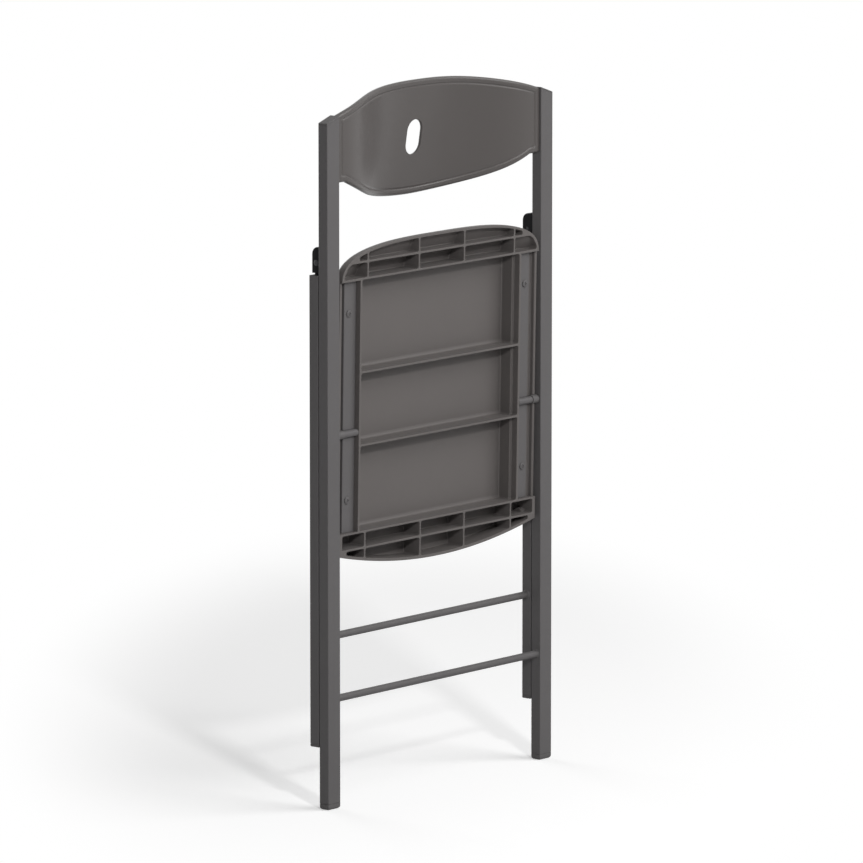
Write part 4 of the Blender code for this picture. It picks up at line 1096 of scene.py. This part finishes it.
class CHAIR_OT_fasteners(bpy.types.Operator):
    """Make the rail screws, the bracket screws and the hinge rivets"""
    bl_idname = "chair.fasteners"
    bl_label = "Screws and Rivets"

    def execute(self, context):
        sizes = context.scene.chair_fasteners
        screws, made = screw_tree(), finishes()
        rail = [f"{side}_{row}_rail_screw" for side in SIDES for row in ("front", "rear")]
        points = []
        for node in rail:
            low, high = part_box(node)
            points.append(((low.x + high.x) / 2, low.y + RAIL_SCREW_HEIGHT, (low.z + high.z) / 2))
        fasten("rail_screws", "rail_screw_places", points, screws, {
            "Head": sizes.rail_head, "Head Height": RAIL_SCREW_HEIGHT, "Shank": RAIL_SCREW_SHANK,
            "Length": RAIL_SCREW_LENGTH, "Turn": math.pi / 2 + context.scene.chair_seat.lean,
            "Material": made["powder_coat"]}, "seat", "bare_steel", rail)
        bracket = [f"{side}_{row}_bracket_screw" for side in SIDES for row in ("inner", "outer")]
        points = []
        for node in bracket:
            low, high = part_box(node)
            points.append(((low.x + high.x) / 2, high.y - BRACKET_SCREW_HEIGHT, (low.z + high.z) / 2))
            length = high.y - low.y - BRACKET_SCREW_HEIGHT
        fasten("bracket_screws", "bracket_screw_places", points, screws, {
            "Head": sizes.bracket_head, "Head Height": BRACKET_SCREW_HEIGHT, "Shank": BRACKET_SCREW_SHANK,
            "Length": length, "Turn": -math.pi / 2, "Material": made["bare_steel"]},
            "frame", "bare_steel", bracket)
        pins = [f"{side}_hinge_pin" for side in SIDES]
        boxes = [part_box(node) for node in pins]
        fasten("hinge_rivets", "rivet_places", [(low + high) / 2 for low, high in boxes], rivet_tree(), {
            "Head": sizes.rivet_head, "Head Height": RIVET_HEIGHT, "Shank": RIVET_SHANK,
            "Length": boxes[0][1].x - boxes[0][0].x, "Material": made["black_steel"]},
            "frame", "black_steel", pins)
        return {'FINISHED'}


# Studio

def seen_rays(tree):
    """Two numbers, one for rays from the camera alone and one that adds reflections and glass."""
    path = tree.nodes.new("ShaderNodeLightPath")
    camera = Rule(tree, path.outputs["Is Camera Ray"])
    seen = camera.step('MAXIMUM', path.outputs["Is Glossy Ray"])
    return camera, seen.step('MAXIMUM', path.outputs["Is Transmission Ray"])


def floor_material(shadow):
    """A white floor that shows a share of the shadows near the chair to the camera."""
    material = bpy.data.materials.new("studio_floor")
    material.use_nodes = True
    tree = material.node_tree
    tree.nodes.clear()
    camera, seen = seen_rays(tree)
    paper_tone, camera_tone = 0.6, 0.66    # of the paper, and what the camera sees on top of it
    paper = add(tree, "ShaderNodeBsdfDiffuse", {"Color": camera * camera_tone + paper_tone})
    glow = add(tree, "ShaderNodeEmission", {"Color": (1, 1, 1, 1), "Strength": 1.0})
    # The shadows show inside an ellipse that lies along them
    near = add(tree, "ShaderNodeMapping", {
        "Vector": tree.nodes.new("ShaderNodeTexCoord").outputs["Object"], "Location": (0.42, 0.36, 0.0),
        "Rotation": (0.0, 0.0, math.radians(-50)), "Scale": (0.5, 1.3, 1.0)}, vector_type='TEXTURE')
    away = add(tree, "ShaderNodeVectorMath", {0: near.outputs["Vector"]}, operation='LENGTH')
    share = add(tree, "ShaderNodeMapRange", {
        "Value": away.outputs["Value"], "From Min": 0.6, "From Max": 1.25, "To Min": shadow, "To Max": 0.0},
        interpolation_type='SMOOTHSTEP')
    mix = add(tree, "ShaderNodeMixShader", {0: seen * (1.0 - Rule(tree, share.outputs["Result"]))})
    tree.links.new(paper.outputs["BSDF"], mix.inputs[1])
    tree.links.new(glow.outputs["Emission"], mix.inputs[2])
    end = tree.nodes.new("ShaderNodeOutputMaterial")
    tree.links.new(mix.outputs["Shader"], end.inputs["Surface"])
    return material


def studio_world(sky):
    """White to the camera and in reflections, and an even light of its own strength on the chair."""
    world = bpy.data.worlds.new("studio")
    world.use_nodes = True
    tree = world.node_tree
    seen = seen_rays(tree)[1]
    back = tree.nodes["Background"]
    back.inputs["Color"].default_value = (1, 1, 1, 1)
    feed(tree, back.inputs["Strength"], seen * (1 - sky) + sky)
    return world


def aim(obj, place, target):
    """Stand a lamp or a camera at a place and turn it to a target."""
    obj.location = place
    obj.rotation_euler = (Vector(target) - Vector(place)).to_track_quat('-Z', 'Y').to_euler()


class CHAIR_OT_stage(bpy.types.Operator):
    """Make the floor, the lights and the camera"""
    bl_idname = "chair.stage"
    bl_label = "Studio"

    def execute(self, context):
        stage = context.scene.chair_stage
        camera = link("camera", bpy.data.cameras.new("camera"))
        aim(camera, stage.camera_place, stage.camera_target)
        camera.data.lens = stage.lens
        camera.data.sensor_width = 36
        camera.data.clip_end = 100
        context.scene.camera = camera
        context.scene.world = studio_world(stage.sky)
        context.scene.view_settings.view_transform = 'Standard'
        bm = bmesh.new()
        bmesh.ops.create_grid(bm, x_segments=1, y_segments=1, size=30)
        floor = link("floor", mesh_of("floor", bm))
        floor.data.materials.append(floor_material(stage.shadow))
        lamps = (("key", stage.key_place, stage.key_power, 3.0),
                 ("side_lamp", stage.side_place, stage.side_power, 0.3),
                 ("back_softbox", stage.back_place, stage.back_power, 2.0))
        chair_middle = (0, 0, 0.6)
        for name, place, power, size in lamps:
            light = bpy.data.lights.new(name, 'AREA')
            light.size = size
            light.energy = power
            aim(link(name, light), place, chair_middle)
        return {'FINISHED'}


class CHAIR_PT_pieces(bpy.types.Panel):
    """Lists the chair's pieces"""
    bl_idname = "CHAIR_PT_pieces"
    bl_label = "Folding Chair"
    bl_space_type = 'VIEW_3D'
    bl_region_type = 'UI'
    bl_category = "Chair"

    def draw(self, context):
        for operator in OPERATORS:
            self.layout.operator(operator.bl_idname)


GROUPS = {"chair_backrest": ChairBackrest, "chair_seat": ChairSeat, "chair_fasteners": ChairFasteners,
          "chair_finishes": ChairFinishes, "chair_stage": ChairStage}
OPERATORS = (CHAIR_OT_backrest, CHAIR_OT_seat, CHAIR_OT_tubes, CHAIR_OT_plugs, CHAIR_OT_hinges, CHAIR_OT_pins,
             CHAIR_OT_rods, CHAIR_OT_fasteners, CHAIR_OT_stage)


def register():
    for cls in (*GROUPS.values(), *OPERATORS, CHAIR_PT_pieces):
        bpy.utils.register_class(cls)
    for name, group in GROUPS.items():
        setattr(bpy.types.Scene, name, bpy.props.PointerProperty(type=group))


def unregister():
    for name in GROUPS:
        delattr(bpy.types.Scene, name)
    for cls in (CHAIR_PT_pieces, *reversed(OPERATORS), *reversed(GROUPS.values())):
        bpy.utils.unregister_class(cls)


def main():
    register()
    bpy.ops.chair.backrest()
    bpy.ops.chair.seat()
    bpy.ops.chair.tubes()
    bpy.ops.chair.plugs()
    bpy.ops.chair.hinges()
    bpy.ops.chair.pins()
    bpy.ops.chair.rods()
    bpy.ops.chair.fasteners()
    bpy.ops.chair.stage()


if __name__ == "__main__":
    main()
